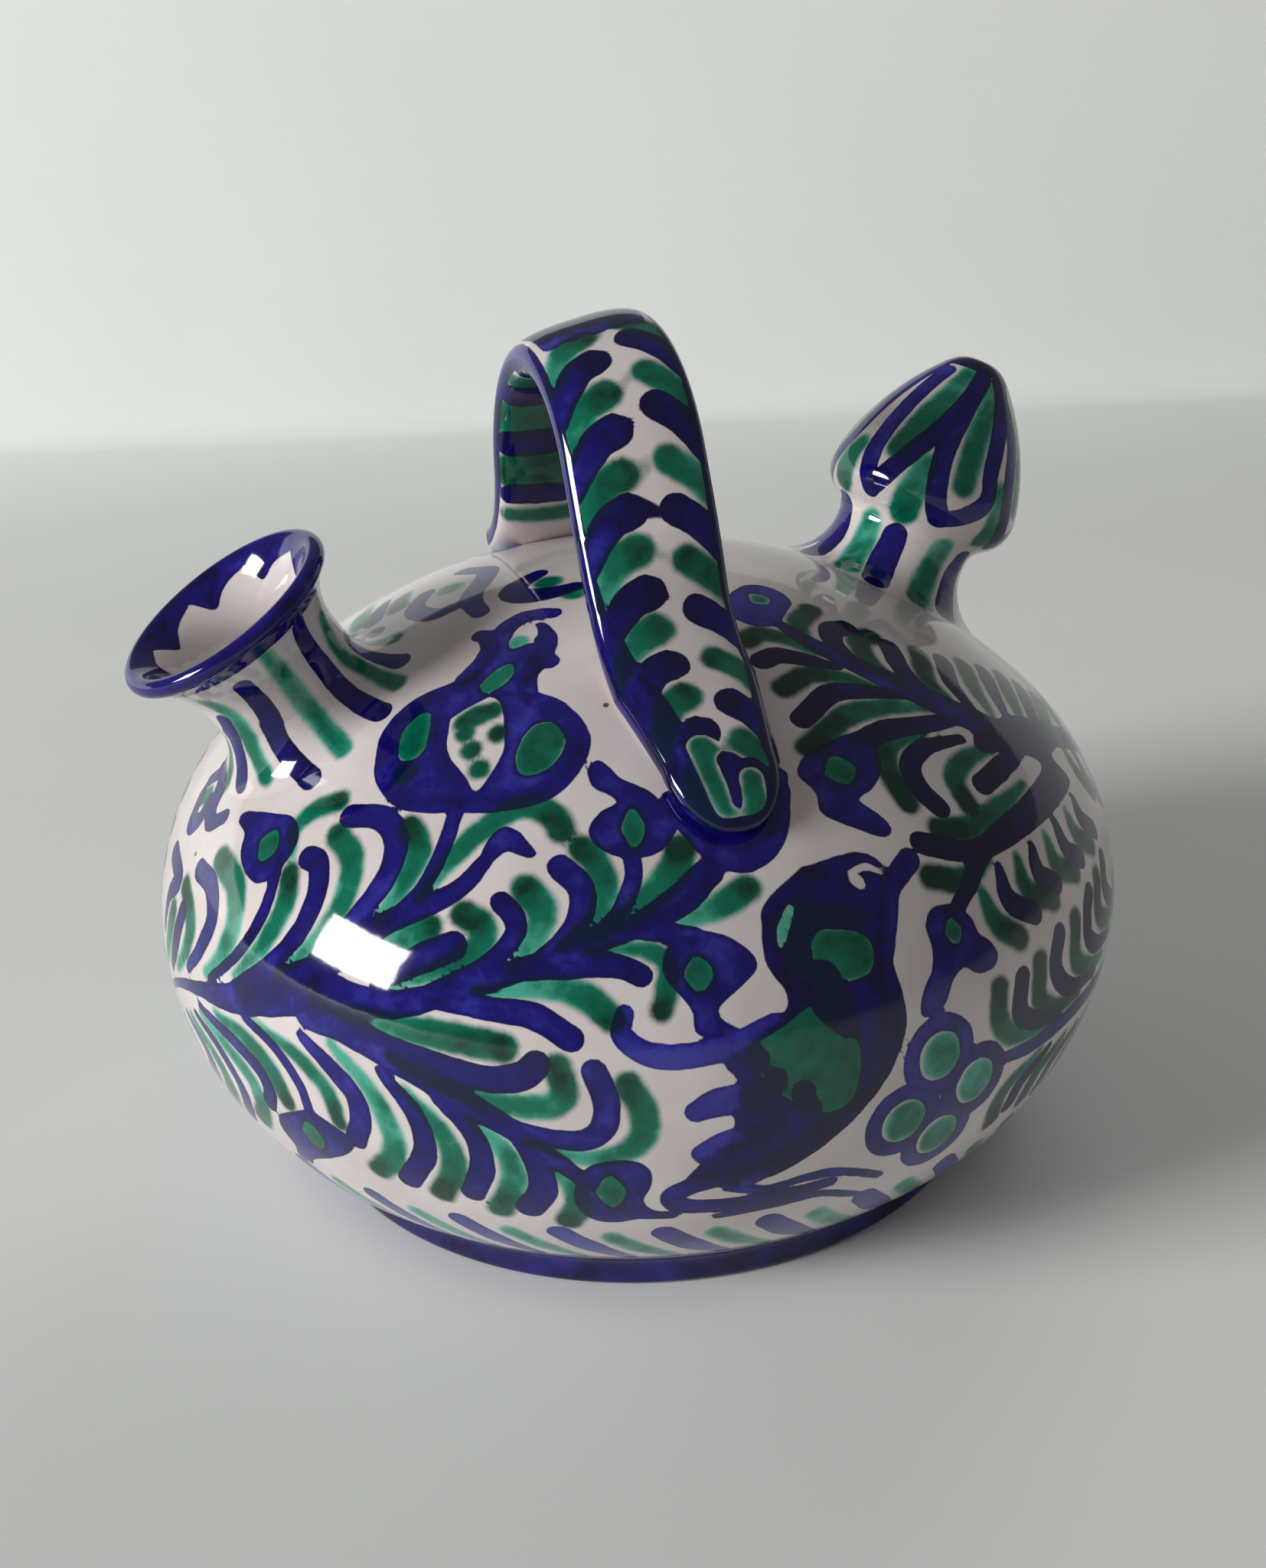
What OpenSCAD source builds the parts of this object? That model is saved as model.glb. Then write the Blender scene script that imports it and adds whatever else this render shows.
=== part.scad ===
// Botijo, a glazed earthenware drinking jug with a filling mouth, a bud-shaped drinking spout
// and a strap handle over the top. Millimetres, +Z up. The origin is the middle of the foot, on the
// surface that the jug stands on. The mouth points to -X, the spout to +X, the handle runs along Y.

/* [Body] */
// Radius of the body at its widest
body_r = 100; // [90:1:115]
// Height of the widest part above the table
equator_z = 54; // [48:1:62]
// Rise of the dome above the widest part
dome_h = 70; // [62:1:84]
// Rounding radius of the shoulder
shoulder_r = 50; // [38:1:55]
// Thickness of the thrown wall
wall = 6; // [4:0.5:8]
// Thickness of the floor of the bowl
floor_t = 7; // [5:0.5:10]

/* [Foot] */
// Radius of the flat underside of the bowl
base_r = 72; // [66:1:80]
// Height of the foot ring
foot_h = 6; // [4:0.5:10]
// Width of the foot ring's resting face and its two rounded edges
foot_w = 12; // [8:0.5:16]
// How far the foot ring stands proud of the bowl's underside
foot_lip = 1.5; // [0.5:0.5:3]
// Rounding of the foot ring's edges
foot_edge_r = 1.5; // [0.5:0.5:2]

/* [Mouth] */
// Distance of the mouth's axis from the body's axis, where it meets the dome
mouth_out = 68; // [58:1:72]
// Lean of the mouth's axis outwards, away from square to the dome, in degrees
mouth_lean = -2.7; // [-6:0.1:6]
// Radius of the throat, where a stopper fits
throat_r = 11.5; // [9:0.5:13]
// Thickness of the mouth's wall
mouth_wall = 3.5; // [3:0.5:5]
// Length of the straight neck above the dome
neck_h = 11; // [9:0.5:16]
// Angle that the funnel flares out to at its rim, in degrees
funnel_flare = 55; // [45:1:70]
// Outer radius of the rolled rim
rim_r = 22; // [20:0.5:26]

/* [Spout] */
// Distance of the spout's axis from the body's axis, where it meets the dome
spout_out = 62; // [54:1:70]
// Lean of the spout's axis outwards, away from square to the dome, in degrees
spout_lean = -1.4; // [-6:0.1:6]
// Outer radius of the spout's stem
stem_r = 15; // [13:0.5:17]
// Height of the bud's widest part above the dome
bud_z = 21; // [19:0.5:26]
// Radius of the bud at its widest
bud_r = 21; // [19:0.5:24]
// Rounding radius of the bud's lower edge
bud_edge_r = 8; // [6:0.5:9]
// Rounding radius of the bud just above its widest part
bud_shoulder_r = 12; // [9:0.5:14]
// Radius of the bud's long side up to the tip
bud_side_r = 55; // [45:1:80]
// Height of the spout's tip above the dome
tip_z = 51; // [46:0.5:60]
// Outer radius of the tip's flat end
tip_r = 4.5; // [4:0.5:6]
// Radius of the drinking hole in the tip
tip_hole_r = 2; // [1.5:0.5:2.5]
// Thickness of the spout's wall
spout_wall = 4; // [3:0.5:5]

/* [Luting] */
// Radius of the hollow curve of clay worked round the mouth's neck
mouth_lute_r = 9; // [6:0.5:10]
// Radius of the hollow curve of clay worked round the spout's stem
spout_lute_r = 8; // [6:0.5:10]
// Thickness left at the upper and outer edges of that clay
lute_edge = 0.6; // [0.5:0.1:1.5]

/* [Handle] */
// Height of the strap's outer face at its crown
handle_top = 170; // [162:1:185]
// Width of the strap
strap_w = 26; // [20:1:30]
// Thickness of the strap
strap_t = 9; // [7:0.5:12]
// Bending radius of the crown, along the middle of the strap
crown_r = 29; // [24:1:34]
// Middle of the rear leg, behind the body's axis
rear_y = 25; // [18:1:32]
// Lean of the front leg away from upright, in degrees
front_lean = 25; // [18:1:32]
// Bending radius where the front leg turns onto the shoulder
front_bend_r = 30; // [20:1:40]
// Bending radius where the rear leg turns onto the dome
rear_bend_r = 14; // [10:1:18]
// Length of the front end pressed down along the shoulder
front_tongue = 31; // [20:1:36]
// Length of the rear end pressed down along the dome
rear_tongue = 20; // [14:1:26]
// Width of the pressed ends just before they round off
tongue_w = 20; // [14:1:24]
// Sideways tilt of the crown towards the mouth, in degrees
crown_tilt = 12; // [0:1:16]
// Place of the handle along X
handle_x = -7; // [-12:1:12]
// Turn of the handle about the upright axis, in degrees
handle_turn = -7; // [-12:1:12]

/* [Hidden] */
$fn = 240;

GLAZE_WHITE = [0.86, 0.82, 0.80];
COBALT_BLUE = [0.16, 0.13, 0.48];

// Reach of cutting shapes past what they cut
PAST = 10;
FAR = 4 * body_r;

// Arc of the belly: upright at the widest part, through the edge of the bowl's underside
belly_in = body_r - base_r;
belly_r = (pow(belly_in, 2) + pow(equator_z - foot_h, 2)) / (2 * belly_in);

// Sphere of the dome, meeting the shoulder's arc smoothly, and the height of its centre
shoulder_x = body_r - shoulder_r;
dome_r = (pow(shoulder_x, 2) + pow(dome_h, 2) - pow(shoulder_r, 2)) / (2 * (dome_h - shoulder_r));
dome_cz = equator_z + dome_h - dome_r;

// Height of the dome at a distance from the body's axis, and its slope there in degrees
function dome_z(out) = dome_cz + sqrt(pow(dome_r, 2) - pow(out, 2));
function dome_slope(out) = asin(out / dome_r);

foot_r = base_r + foot_lip;
neck_r = throat_r + mouth_wall;
stem_bore_r = stem_r - spout_wall;
rim_bead_r = mouth_wall / 2;

// Hollow arc of the funnel's outside, from the upright neck to the flared rim
funnel_r = (rim_r - rim_bead_r - neck_r + rim_bead_r * cos(funnel_flare)) / (1 - cos(funnel_flare));
funnel_x = neck_r + funnel_r;

// Centre of the arc of the bud's long side, which runs from the bud's shoulder arc to the tip
bud_shoulder = [bud_r - bud_shoulder_r, bud_z];
to_tip = [tip_r, tip_z] - bud_shoulder;
side_reach = bud_side_r - bud_shoulder_r;
along = (pow(side_reach, 2) - pow(bud_side_r, 2) + pow(norm(to_tip), 2)) / (2 * norm(to_tip));
across = sqrt(pow(side_reach, 2) - pow(along, 2));
bud_side = bud_shoulder + (along * to_tip + across * [-to_tip.y, to_tip.x]) / norm(to_tip);

// Half profile of the dome, shrunk by inset for its inside
module dome_profile(inset) {
  intersection() {
    translate([0, equator_z])
      square([body_r, dome_h]);
    union() {
      intersection() {
        translate([0, dome_cz])
          circle(dome_r - inset);
        polygon([[0, dome_cz], [FAR * shoulder_x, dome_cz + FAR * (equator_z - dome_cz)], [0, FAR * FAR]]);
      }
      translate([shoulder_x, equator_z])
        circle(shoulder_r - inset);
    }
  }
}

// Half profile of the bowl from height from_z to the widest part, shrunk by inset for its inside
module bowl_profile(inset, from_z) {
  intersection() {
    translate([0, from_z])
      square([body_r, equator_z - from_z]);
    union() {
      translate([0, from_z])
        square([body_r - belly_r, equator_z - from_z]);
      translate([body_r - belly_r, equator_z])
        circle(belly_r - inset);
    }
  }
}

// The whole body as a solid block, which trims what is luted onto it
module body_block() {
  rotate_extrude() {
    dome_profile(0);
    bowl_profile(0, foot_h);
  }
}

// Frames of the mouth and the spout: their own +Z runs out along the axis from the dome's surface
module at_mouth() {
  translate([-mouth_out, 0, dome_z(mouth_out)])
    rotate([0, -dome_slope(mouth_out) - mouth_lean, 0])
      children();
}

module at_spout() {
  translate([spout_out, 0, dome_z(spout_out)])
    rotate([0, dome_slope(spout_out) + spout_lean, 0])
      children();
}

module foot_ring() {
  color(COBALT_BLUE)
    rotate_extrude() {
      translate([foot_r - foot_w + foot_edge_r, 0])
        square([foot_w - 2 * foot_edge_r, foot_h]);
      translate([foot_r - foot_w, foot_edge_r])
        square([foot_w, foot_h - 2 * foot_edge_r]);
      for (x = [foot_r - foot_w + foot_edge_r, foot_r - foot_edge_r], z = [foot_edge_r, foot_h - foot_edge_r])
        translate([x, z])
          circle(foot_edge_r);
    }
}

module lower_bowl() {
  color(GLAZE_WHITE)
    rotate_extrude()
      difference() {
        bowl_profile(0, foot_h);
        bowl_profile(wall, foot_h + floor_t);
      }
}

module upper_dome() {
  color(GLAZE_WHITE)
    difference() {
      rotate_extrude()
        difference() {
          dome_profile(0);
          dome_profile(wall);
        }
      at_mouth()
        cylinder(h = 2 * wall + 2 * PAST, r = throat_r, center = true);
      at_spout()
        cylinder(h = 2 * wall + 2 * PAST, r = stem_bore_r, center = true);
    }
}

// Straight neck under a trumpet funnel, with a rolled rim
module mouth() {
  color(GLAZE_WHITE)
    difference() {
      at_mouth()
        rotate_extrude() {
          translate([throat_r, -PAST])
            square([mouth_wall, PAST + neck_h]);
          translate([funnel_x, neck_h])
            intersection() {
              difference() {
                circle(funnel_r + mouth_wall);
                circle(funnel_r);
              }
              polygon([[0, 0], [-FAR, 0], [-FAR * cos(funnel_flare), FAR * sin(funnel_flare)]]);
            }
          translate([funnel_x, neck_h])
            rotate(180 - funnel_flare)
              translate([funnel_r + rim_bead_r, 0])
                circle(rim_bead_r);
        }
      body_block();
    }
}

// Ring of clay with a hollow curve, standing square to the dome at the distance out from the body's
// axis, on side -1 or 1. The hollow curve runs from a tube's side down to the dome.
module luting(out, side, tube_r, curve_r) {
  curve_x = tube_r + lute_edge + curve_r;
  curve_z = sqrt(pow(dome_r + curve_r, 2) - pow(curve_x, 2)) - dome_r + lute_edge;
  edge_x = curve_x * dome_r / (dome_r + curve_r);
  translate([side * out, 0, dome_z(out)])
    rotate([0, side * dome_slope(out), 0])
      rotate_extrude()
        difference() {
          translate([0, -PAST])
            square([edge_x, PAST + curve_z]);
          translate([curve_x, curve_z])
            circle(curve_r);
        }
}

module mouth_luting() {
  color(GLAZE_WHITE)
    difference() {
      luting(mouth_out, -1, neck_r, mouth_lute_r);
      at_mouth()
        cylinder(h = 2 * (PAST + mouth_lute_r), r = neck_r, center = true);
      body_block();
    }
}

// Bud on a stem, shrunk by inset for its inside
module spout_profile(inset) {
  translate([0, -PAST])
    square([stem_r - inset, PAST + bud_z]);
  translate([0, bud_z - bud_edge_r + inset])
    square([bud_r - bud_edge_r, bud_edge_r - inset]);
  intersection() {
    translate([bud_r - bud_edge_r, bud_z])
      circle(bud_edge_r - inset);
    translate([0, -PAST])
      square([bud_r, PAST + bud_z]);
  }
  intersection() {
    translate([0, bud_z])
      square([bud_r, tip_z - bud_z - inset]);
    translate(bud_shoulder)
      circle(bud_shoulder_r - inset);
  }
  intersection() {
    square([bud_r, tip_z - inset]);
    translate(bud_side)
      intersection() {
        circle(bud_side_r - inset);
        polygon([[0, 0], FAR * (bud_shoulder - bud_side), [0, FAR * FAR]]);
      }
  }
}

module spout() {
  color(GLAZE_WHITE)
    difference() {
      at_spout()
        rotate_extrude()
          difference() {
            spout_profile(0);
            spout_profile(spout_wall);
            square([tip_hole_r, tip_z + PAST]);
          }
      body_block();
    }
}

module spout_luting() {
  color(GLAZE_WHITE)
    difference() {
      luting(spout_out, 1, stem_r, spout_lute_r);
      at_spout()
        cylinder(h = 2 * (PAST + spout_lute_r), r = stem_r, center = true);
      body_block();
    }
}

// Middle line of the strap in its own upright plane, [y, z]. It follows the dome at its front end,
// bends up into the front leg, runs over the crown and down the rear leg, and bends back onto the dome.
tongue_lift = strap_t / 6;
tongue_arc = dome_r + tongue_lift;
dome_centre = [0, dome_cz];
crown_centre = [rear_y - crown_r, handle_top - strap_t / 2 - crown_r];
front_down = [-sin(front_lean), -cos(front_lean)];
front_out = [-cos(front_lean), sin(front_lean)];
rear_down = [0, -1];
rear_out = [1, 0];
front_leg = crown_centre + crown_r * front_out;
rear_leg = crown_centre + crown_r * rear_out;

// Centre of a bend of radius r that leaves a leg and touches the line along the dome
function bend_centre(leg, down, out, r) =
  let (
    from = leg + r * out - dome_centre,
    fall = from * down
  )
  leg + r * out + down * (-fall - sqrt(pow(fall, 2) - from * from + pow(tongue_arc + r, 2)));

function bearing(v) = atan2(v.y, v.x);

front_bend = bend_centre(front_leg, front_down, front_out, front_bend_r);
rear_bend = bend_centre(rear_leg, rear_down, rear_out, rear_bend_r);
front_touch = bearing(front_bend - dome_centre);
rear_touch = bearing(rear_bend - dome_centre);

// Points along an arc from bearing a to bearing b, without the points at its two ends
function inner_arc(centre, r, a, b, steps) =
  [for (i = [1:steps - 1]) let (t = a + (b - a) * i / steps) centre + r * [cos(t), sin(t)]];

// The same with both ends
function whole_arc(centre, r, a, b, steps) =
  concat(
    [centre + r * [cos(a), sin(a)]],
    inner_arc(centre, r, a, b, steps),
    [centre + r * [cos(b), sin(b)]]
  );

TONGUE_STEPS = 10;
BEND_STEPS = 6;
CROWN_STEPS = 20;
SIDES = 24;
function degrees_along(length, r) = length / r * 180 / PI;
front_tip = front_touch + degrees_along(front_tongue, tongue_arc);
rear_tip = rear_touch - degrees_along(rear_tongue, tongue_arc);

middle_line = concat(
  whole_arc(dome_centre, tongue_arc, front_tip, front_touch, TONGUE_STEPS),
  inner_arc(front_bend, front_bend_r, front_touch - 180, bearing(front_out) - 180, BEND_STEPS),
  [front_bend - front_bend_r * front_out],
  whole_arc(crown_centre, crown_r, bearing(front_out), bearing(rear_out), CROWN_STEPS),
  [rear_bend - rear_bend_r * rear_out],
  inner_arc(rear_bend, rear_bend_r, bearing(rear_out) + 180, rear_touch + 180, BEND_STEPS),
  whole_arc(dome_centre, tongue_arc, rear_touch, rear_tip, TONGUE_STEPS)
);
LAST = len(middle_line) - 1;

// How far a station lies along a pressed end: 0 at its bend, 1 at its tip
function end_share(i) = max(0, 1 - min(i, LAST - i) / TONGUE_STEPS);

// A pressed end narrows, thins and then rounds off
ROUND_FROM = 0.55;
ROUND_TO = 1.04;
TIP_THIN = 0.35;
function tip_round(e) = e < ROUND_FROM ? 1 : sqrt(1 - pow((e - ROUND_FROM) / (ROUND_TO - ROUND_FROM), 2));
function width_at(e) = (strap_w + (tongue_w - strap_w) * min(1, e / ROUND_FROM)) * tip_round(e);
function thickness_at(e) = strap_t * (1 - TIP_THIN * e) * tip_round(e);

// The tilt grows from nothing on the dome to its full value at the crown
tilt_from = equator_z + dome_h;
function tilt_at(z) = crown_tilt * min(1, max(0, (z - tilt_from) / (crown_centre.y - tilt_from)));

// Oval section, a little squarer than an ellipse
SQUARENESS = 0.8;
function squarish(v) = sign(v) * pow(abs(v), SQUARENESS);

function station(i) =
  let (
    here = middle_line[i],
    run = middle_line[min(i + 1, LAST)] - middle_line[max(i - 1, 0)],
    out = [-run.y, run.x] / norm(run),
    e = end_share(i),
    tilt = tilt_at(here.y)
  )
  [for (k = [0:SIDES - 1])
    let (
      a = width_at(e) / 2 * squarish(cos(360 * k / SIDES)),
      b = thickness_at(e) / 2 * squarish(sin(360 * k / SIDES)),
      lift = b * cos(tilt) + a * sin(tilt)
    )
    [a * cos(tilt) - b * sin(tilt), here.x + lift * out.x, here.y + lift * out.y]
  ];

module handle_strap() {
  points = [for (i = [0:LAST]) each station(i)];
  around = [for (i = [0:LAST - 1], k = [0:SIDES - 1])
    let (
      p = i * SIDES + k,
      q = i * SIDES + (k + 1) % SIDES
    )
    each [[p, q, q + SIDES], [p, q + SIDES, p + SIDES]]
  ];
  front_cap = [for (k = [0:SIDES - 1]) SIDES - 1 - k];
  rear_cap = [for (k = [0:SIDES - 1]) LAST * SIDES + k];
  color(GLAZE_WHITE)
    difference() {
      translate([handle_x, 0, 0])
        rotate([0, 0, handle_turn])
          polyhedron(points, concat(around, [front_cap, rear_cap]), convexity = 4);
      body_block();
    }
}

foot_ring();
lower_bowl();
upper_dome();
mouth();
mouth_luting();
spout();
spout_luting();
handle_strap();
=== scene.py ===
import math

import bpy
import numpy as np
from mathutils import Matrix


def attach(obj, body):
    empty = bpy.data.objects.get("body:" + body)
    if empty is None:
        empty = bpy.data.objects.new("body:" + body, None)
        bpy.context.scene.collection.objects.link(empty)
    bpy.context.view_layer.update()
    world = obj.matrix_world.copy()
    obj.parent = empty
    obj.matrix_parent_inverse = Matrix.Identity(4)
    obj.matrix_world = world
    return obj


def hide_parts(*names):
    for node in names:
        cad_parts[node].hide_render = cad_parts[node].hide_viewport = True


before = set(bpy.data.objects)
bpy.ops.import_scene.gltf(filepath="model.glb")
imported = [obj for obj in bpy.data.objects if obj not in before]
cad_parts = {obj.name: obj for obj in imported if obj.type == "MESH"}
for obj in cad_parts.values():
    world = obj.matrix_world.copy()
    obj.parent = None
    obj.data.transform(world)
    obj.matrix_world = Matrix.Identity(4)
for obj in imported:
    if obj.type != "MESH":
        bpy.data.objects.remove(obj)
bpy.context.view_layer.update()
bpy.context.scene.view_settings.view_transform = "Standard"

# Foot ring: a coil of clay turned onto the floor of the bowl, with soft edges and a small hollow up to the belly.
# It is brushed with dense cobalt. The face that it rests on is wiped bare, so that it doesn't stick in the kiln.
MM = 0.001
FOOT_OUT = 73.5
FOOT_IN = 61.5
FOOT_EDGE = 1.5
UNDERSIDE = 6.0


def arc(x, z, radius, start, end, count):
    """Points of a profile along an arc, in mm, from one angle in degrees to another."""
    turns = np.radians(np.linspace(start, end, count))
    return [(x + radius * math.cos(t), z + radius * math.sin(t)) for t in turns]


def straight(start, end, count):
    """Points of a profile along a straight line, without the first."""
    return [tuple(p) for p in np.linspace(start, end, count + 1)[1:]]


def throw(name, profile, steps):
    """A piece turned on the wheel: its half profile of (radius, height) in mm, spun about the upright axis."""
    bpy.ops.object.select_all(action="DESELECT")
    bpy.ops.mesh.primitive_plane_add(size=MM)
    piece = bpy.context.object
    piece.name = name
    piece.data.name = name
    bpy.ops.object.mode_set(mode="EDIT")
    bpy.ops.mesh.select_all(action="SELECT")
    bpy.ops.mesh.merge(type="CENTER")
    bpy.ops.transform.translate(value=(profile[0][0] * MM, 0, profile[0][1] * MM))
    for here, there in zip(profile, profile[1:]):
        step = ((there[0] - here[0]) * MM, 0, (there[1] - here[1]) * MM)
        bpy.ops.mesh.extrude_vertices_move(TRANSFORM_OT_translate={"value": step})
    bpy.ops.mesh.select_all(action="SELECT")
    bpy.ops.mesh.spin(steps=steps, angle=2 * math.pi, center=(0, 0, 0), axis=(0, 0, 1))
    bpy.ops.mesh.select_all(action="SELECT")
    bpy.ops.mesh.remove_doubles(threshold=0.01 * MM)
    bpy.ops.mesh.normals_make_consistent(inside=False)
    bpy.ops.object.mode_set(mode="OBJECT")
    bpy.ops.object.shade_smooth_by_angle(angle=math.radians(40))
    return piece


def linear(code):
    """An sRGB hex colour as the linear colour that a shader takes."""
    parts = [int(code[i:i + 2], 16) / 255 for i in (1, 3, 5)]
    return tuple(c / 12.92 if c <= 0.04045 else ((c + 0.055) / 1.055) ** 2.4 for c in parts) + (1.0,)


def add_node(tree, kind, inputs, output=0, **settings):
    """Adds a node with its settings. An input is a value, or another node's output to link. Returns an output."""
    node = tree.nodes.new("ShaderNode" + kind)
    for name, value in settings.items():
        setattr(node, name, value)
    for socket, value in inputs.items():
        if isinstance(value, bpy.types.NodeSocket):
            tree.links.new(value, node.inputs[socket])
        else:
            node.inputs[socket].default_value = value
    return node.outputs[output] if node.outputs else None


def start_material(name):
    material = bpy.data.materials.new(name)
    material.use_nodes = True
    material.node_tree.nodes.clear()
    return material, material.node_tree


# Cobalt under a clear lead glaze: deep blue where the brush left it thick, violet-blue where it ran thin
cobalt, tree = start_material("cobalt_glaze")
place = add_node(tree, "TexCoord", {}, "Object")
pool = add_node(tree, "TexNoise", {"Vector": place, "Scale": 1 / (8 * MM), "Detail": 4.0})
depth = add_node(tree, "MapRange", {"Value": pool, "From Min": 0.35, "From Max": 0.68})
colour = add_node(tree, "Mix", {0: depth, 6: linear("#0e0838"), 7: linear("#241f78")}, 2, data_type="RGBA")
gloss = add_node(tree, "MapRange", {"Value": pool, "To Min": 0.08, "To Max": 0.16})
peel = add_node(tree, "TexNoise", {"Vector": place, "Scale": 1 / (5 * MM), "Detail": 2.0})
relief = add_node(tree, "Bump", {"Height": peel, "Strength": 0.6, "Distance": 0.06 * MM})
surface = add_node(tree, "BsdfPrincipled",
                   {"Base Color": colour, "Roughness": gloss, "IOR": 1.5, "Normal": relief})
add_node(tree, "OutputMaterial", {"Surface": surface})

# Fired earthenware without glaze: matt, buff, with grog about a millimetre across
biscuit, tree = start_material("bare_earthenware")
place = add_node(tree, "TexCoord", {}, "Object")
grog = add_node(tree, "TexNoise", {"Vector": place, "Scale": 1 / (1.2 * MM), "Detail": 3.0})
colour = add_node(tree, "Mix", {0: grog, 6: linear("#b08b6c"), 7: linear("#d2b599")}, 2, data_type="RGBA")
relief = add_node(tree, "Bump", {"Height": grog, "Strength": 0.8, "Distance": 0.2 * MM})
surface = add_node(tree, "BsdfPrincipled", {"Base Color": colour, "Roughness": 0.85, "Normal": relief})
add_node(tree, "OutputMaterial", {"Surface": surface})

foot_profile = (
    arc(FOOT_OUT - FOOT_EDGE, FOOT_EDGE, FOOT_EDGE, -90, 0, 6)
    + [(73.5, 3.0), (73.5, 4.2), (73.6, 5.2), (73.9, 6.1), (74.5, 7.0), (75.3, 8.0), (73.4, 8.6)]
    + [(66.0, UNDERSIDE + 0.6), (FOOT_IN, UNDERSIDE + 0.6), (FOOT_IN, 4.0)]
    + arc(FOOT_IN + FOOT_EDGE, FOOT_EDGE, FOOT_EDGE, 180, 270, 6)
    + [(67.5, 0.0), (FOOT_OUT - FOOT_EDGE, 0.0)]
)
foot = throw("glazed_foot", foot_profile, 320)
foot.data.materials.append(cobalt)
foot.data.materials.append(biscuit)
for face in foot.data.polygons:
    if face.normal.z < -0.9 and face.center.z < 0.5 * MM:
        face.material_index = 1
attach(foot, "root")
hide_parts("foot_ring")

# Lower bowl: the belly and the floor of the jug, thrown in red clay with a wall of 6 mm and joined to the dome at
# the widest ring. White tin glaze covers it inside and out, and its painting is brushed on before the firing.
TURN_STEPS = 560
WIDEST_Z = 54.0
WIDEST_R = 100.0
BELLY_R = 55.14
BELLY_X = WIDEST_R - BELLY_R
BELLY_END = -60.5
WALL = 6.0
FLOOR_TOP = 13.0
INNER_END = math.degrees(math.asin((FLOOR_TOP - WIDEST_Z) / (BELLY_R - WALL)))

# White tin glaze painted in cobalt blue and copper green. The attributes say how far a spot lies from the edge of
# the brush strokes, in mm, and how much pigment they left. Blue keeps a crisp edge, green bleeds and pools.
painted, tree = start_material("painted_tin_glaze")
place = add_node(tree, "TexCoord", {}, "Object")
blue_edge = add_node(tree, "Attribute", {}, "Fac", attribute_name="blue_edge")
blue_load = add_node(tree, "Attribute", {}, "Fac", attribute_name="blue_load")
green_edge = add_node(tree, "Attribute", {}, "Fac", attribute_name="green_edge")
green_load = add_node(tree, "Attribute", {}, "Fac", attribute_name="green_load")

mottle = add_node(tree, "TexNoise", {"Vector": place, "Scale": 1 / (16 * MM), "Detail": 4.0})
cloud = add_node(tree, "MapRange", {"Value": mottle, "From Min": 0.3, "From Max": 0.7})
white = add_node(tree, "Mix", {0: cloud, 6: linear("#d0c4c2"), 7: linear("#ddd5d4")}, 2, data_type="RGBA")
pores = add_node(tree, "TexVoronoi", {"Vector": place, "Scale": 1 / (24 * MM)}, "Distance")
pinhole = add_node(tree, "MapRange", {"Value": pores, "From Min": 0.028, "From Max": 0.018})
white = add_node(tree, "Mix", {0: pinhole, 6: white, 7: linear("#5b4a42")}, 2, data_type="RGBA")

bleed = add_node(tree, "TexNoise", {"Vector": place, "Scale": 1 / (2.6 * MM), "Detail": 3.0})
green_line = add_node(tree, "Math", {0: bleed, 1: 0.9, 2: green_edge}, operation="MULTIPLY_ADD")
green_cover = add_node(tree, "MapRange", {"Value": green_line, "From Min": 1.1, "From Max": -0.4},
                       interpolation_type="SMOOTHSTEP")
pool = add_node(tree, "TexNoise", {"Vector": place, "Scale": 1 / (5 * MM), "Detail": 4.0})
green_tone = add_node(tree, "Math", {0: pool, 1: 1.3, 2: green_load}, operation="MULTIPLY_ADD")
fringe = add_node(tree, "MapRange",
                  {"Value": green_line, "From Min": -1.2, "From Max": 0.5, "To Min": 0.0, "To Max": -0.4})
green_tone = add_node(tree, "Math", {0: green_tone, 1: fringe}, operation="ADD")
green_mid = add_node(tree, "MapRange", {"Value": green_tone, "From Min": 0.65, "From Max": 1.1})
green_deep = add_node(tree, "MapRange", {"Value": green_tone, "From Min": 1.2, "From Max": 1.8})
green = add_node(tree, "Mix", {0: green_mid, 6: linear("#4aa48e"), 7: linear("#056a52")}, 2, data_type="RGBA")
green = add_node(tree, "Mix", {0: green_deep, 6: green, 7: linear("#033324")}, 2, data_type="RGBA")
ground = add_node(tree, "Mix", {0: green_cover, 6: white, 7: green}, 2, data_type="RGBA")

hair = add_node(tree, "TexNoise", {"Vector": place, "Scale": 1 / (3.0 * MM), "Detail": 2.0})
blue_line = add_node(tree, "Math", {0: hair, 1: 0.5, 2: blue_edge}, operation="MULTIPLY_ADD")
blue_cover = add_node(tree, "MapRange", {"Value": blue_line, "From Min": 0.38, "From Max": 0.12},
                      interpolation_type="SMOOTHSTEP")
rim = add_node(tree, "MapRange",
               {"Value": blue_line, "From Min": -0.7, "From Max": 0.2, "To Min": 0.0, "To Max": 0.3})
wash = add_node(tree, "TexNoise", {"Vector": place, "Scale": 1 / (6 * MM), "Detail": 5.0, "Roughness": 0.6})
blue_tone = add_node(tree, "Math", {0: wash, 1: 1.7, 2: blue_load}, operation="MULTIPLY_ADD")
blue_tone = add_node(tree, "Math", {0: blue_tone, 1: rim}, operation="ADD")
blue_mid = add_node(tree, "MapRange", {"Value": blue_tone, "From Min": 0.75, "From Max": 1.3})
blue_deep = add_node(tree, "MapRange", {"Value": blue_tone, "From Min": 1.3, "From Max": 1.9})
blue = add_node(tree, "Mix", {0: blue_mid, 6: linear("#36349c"), 7: linear("#160f6c")}, 2, data_type="RGBA")
blue = add_node(tree, "Mix", {0: blue_deep, 6: blue, 7: linear("#0a0538")}, 2, data_type="RGBA")
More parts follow.
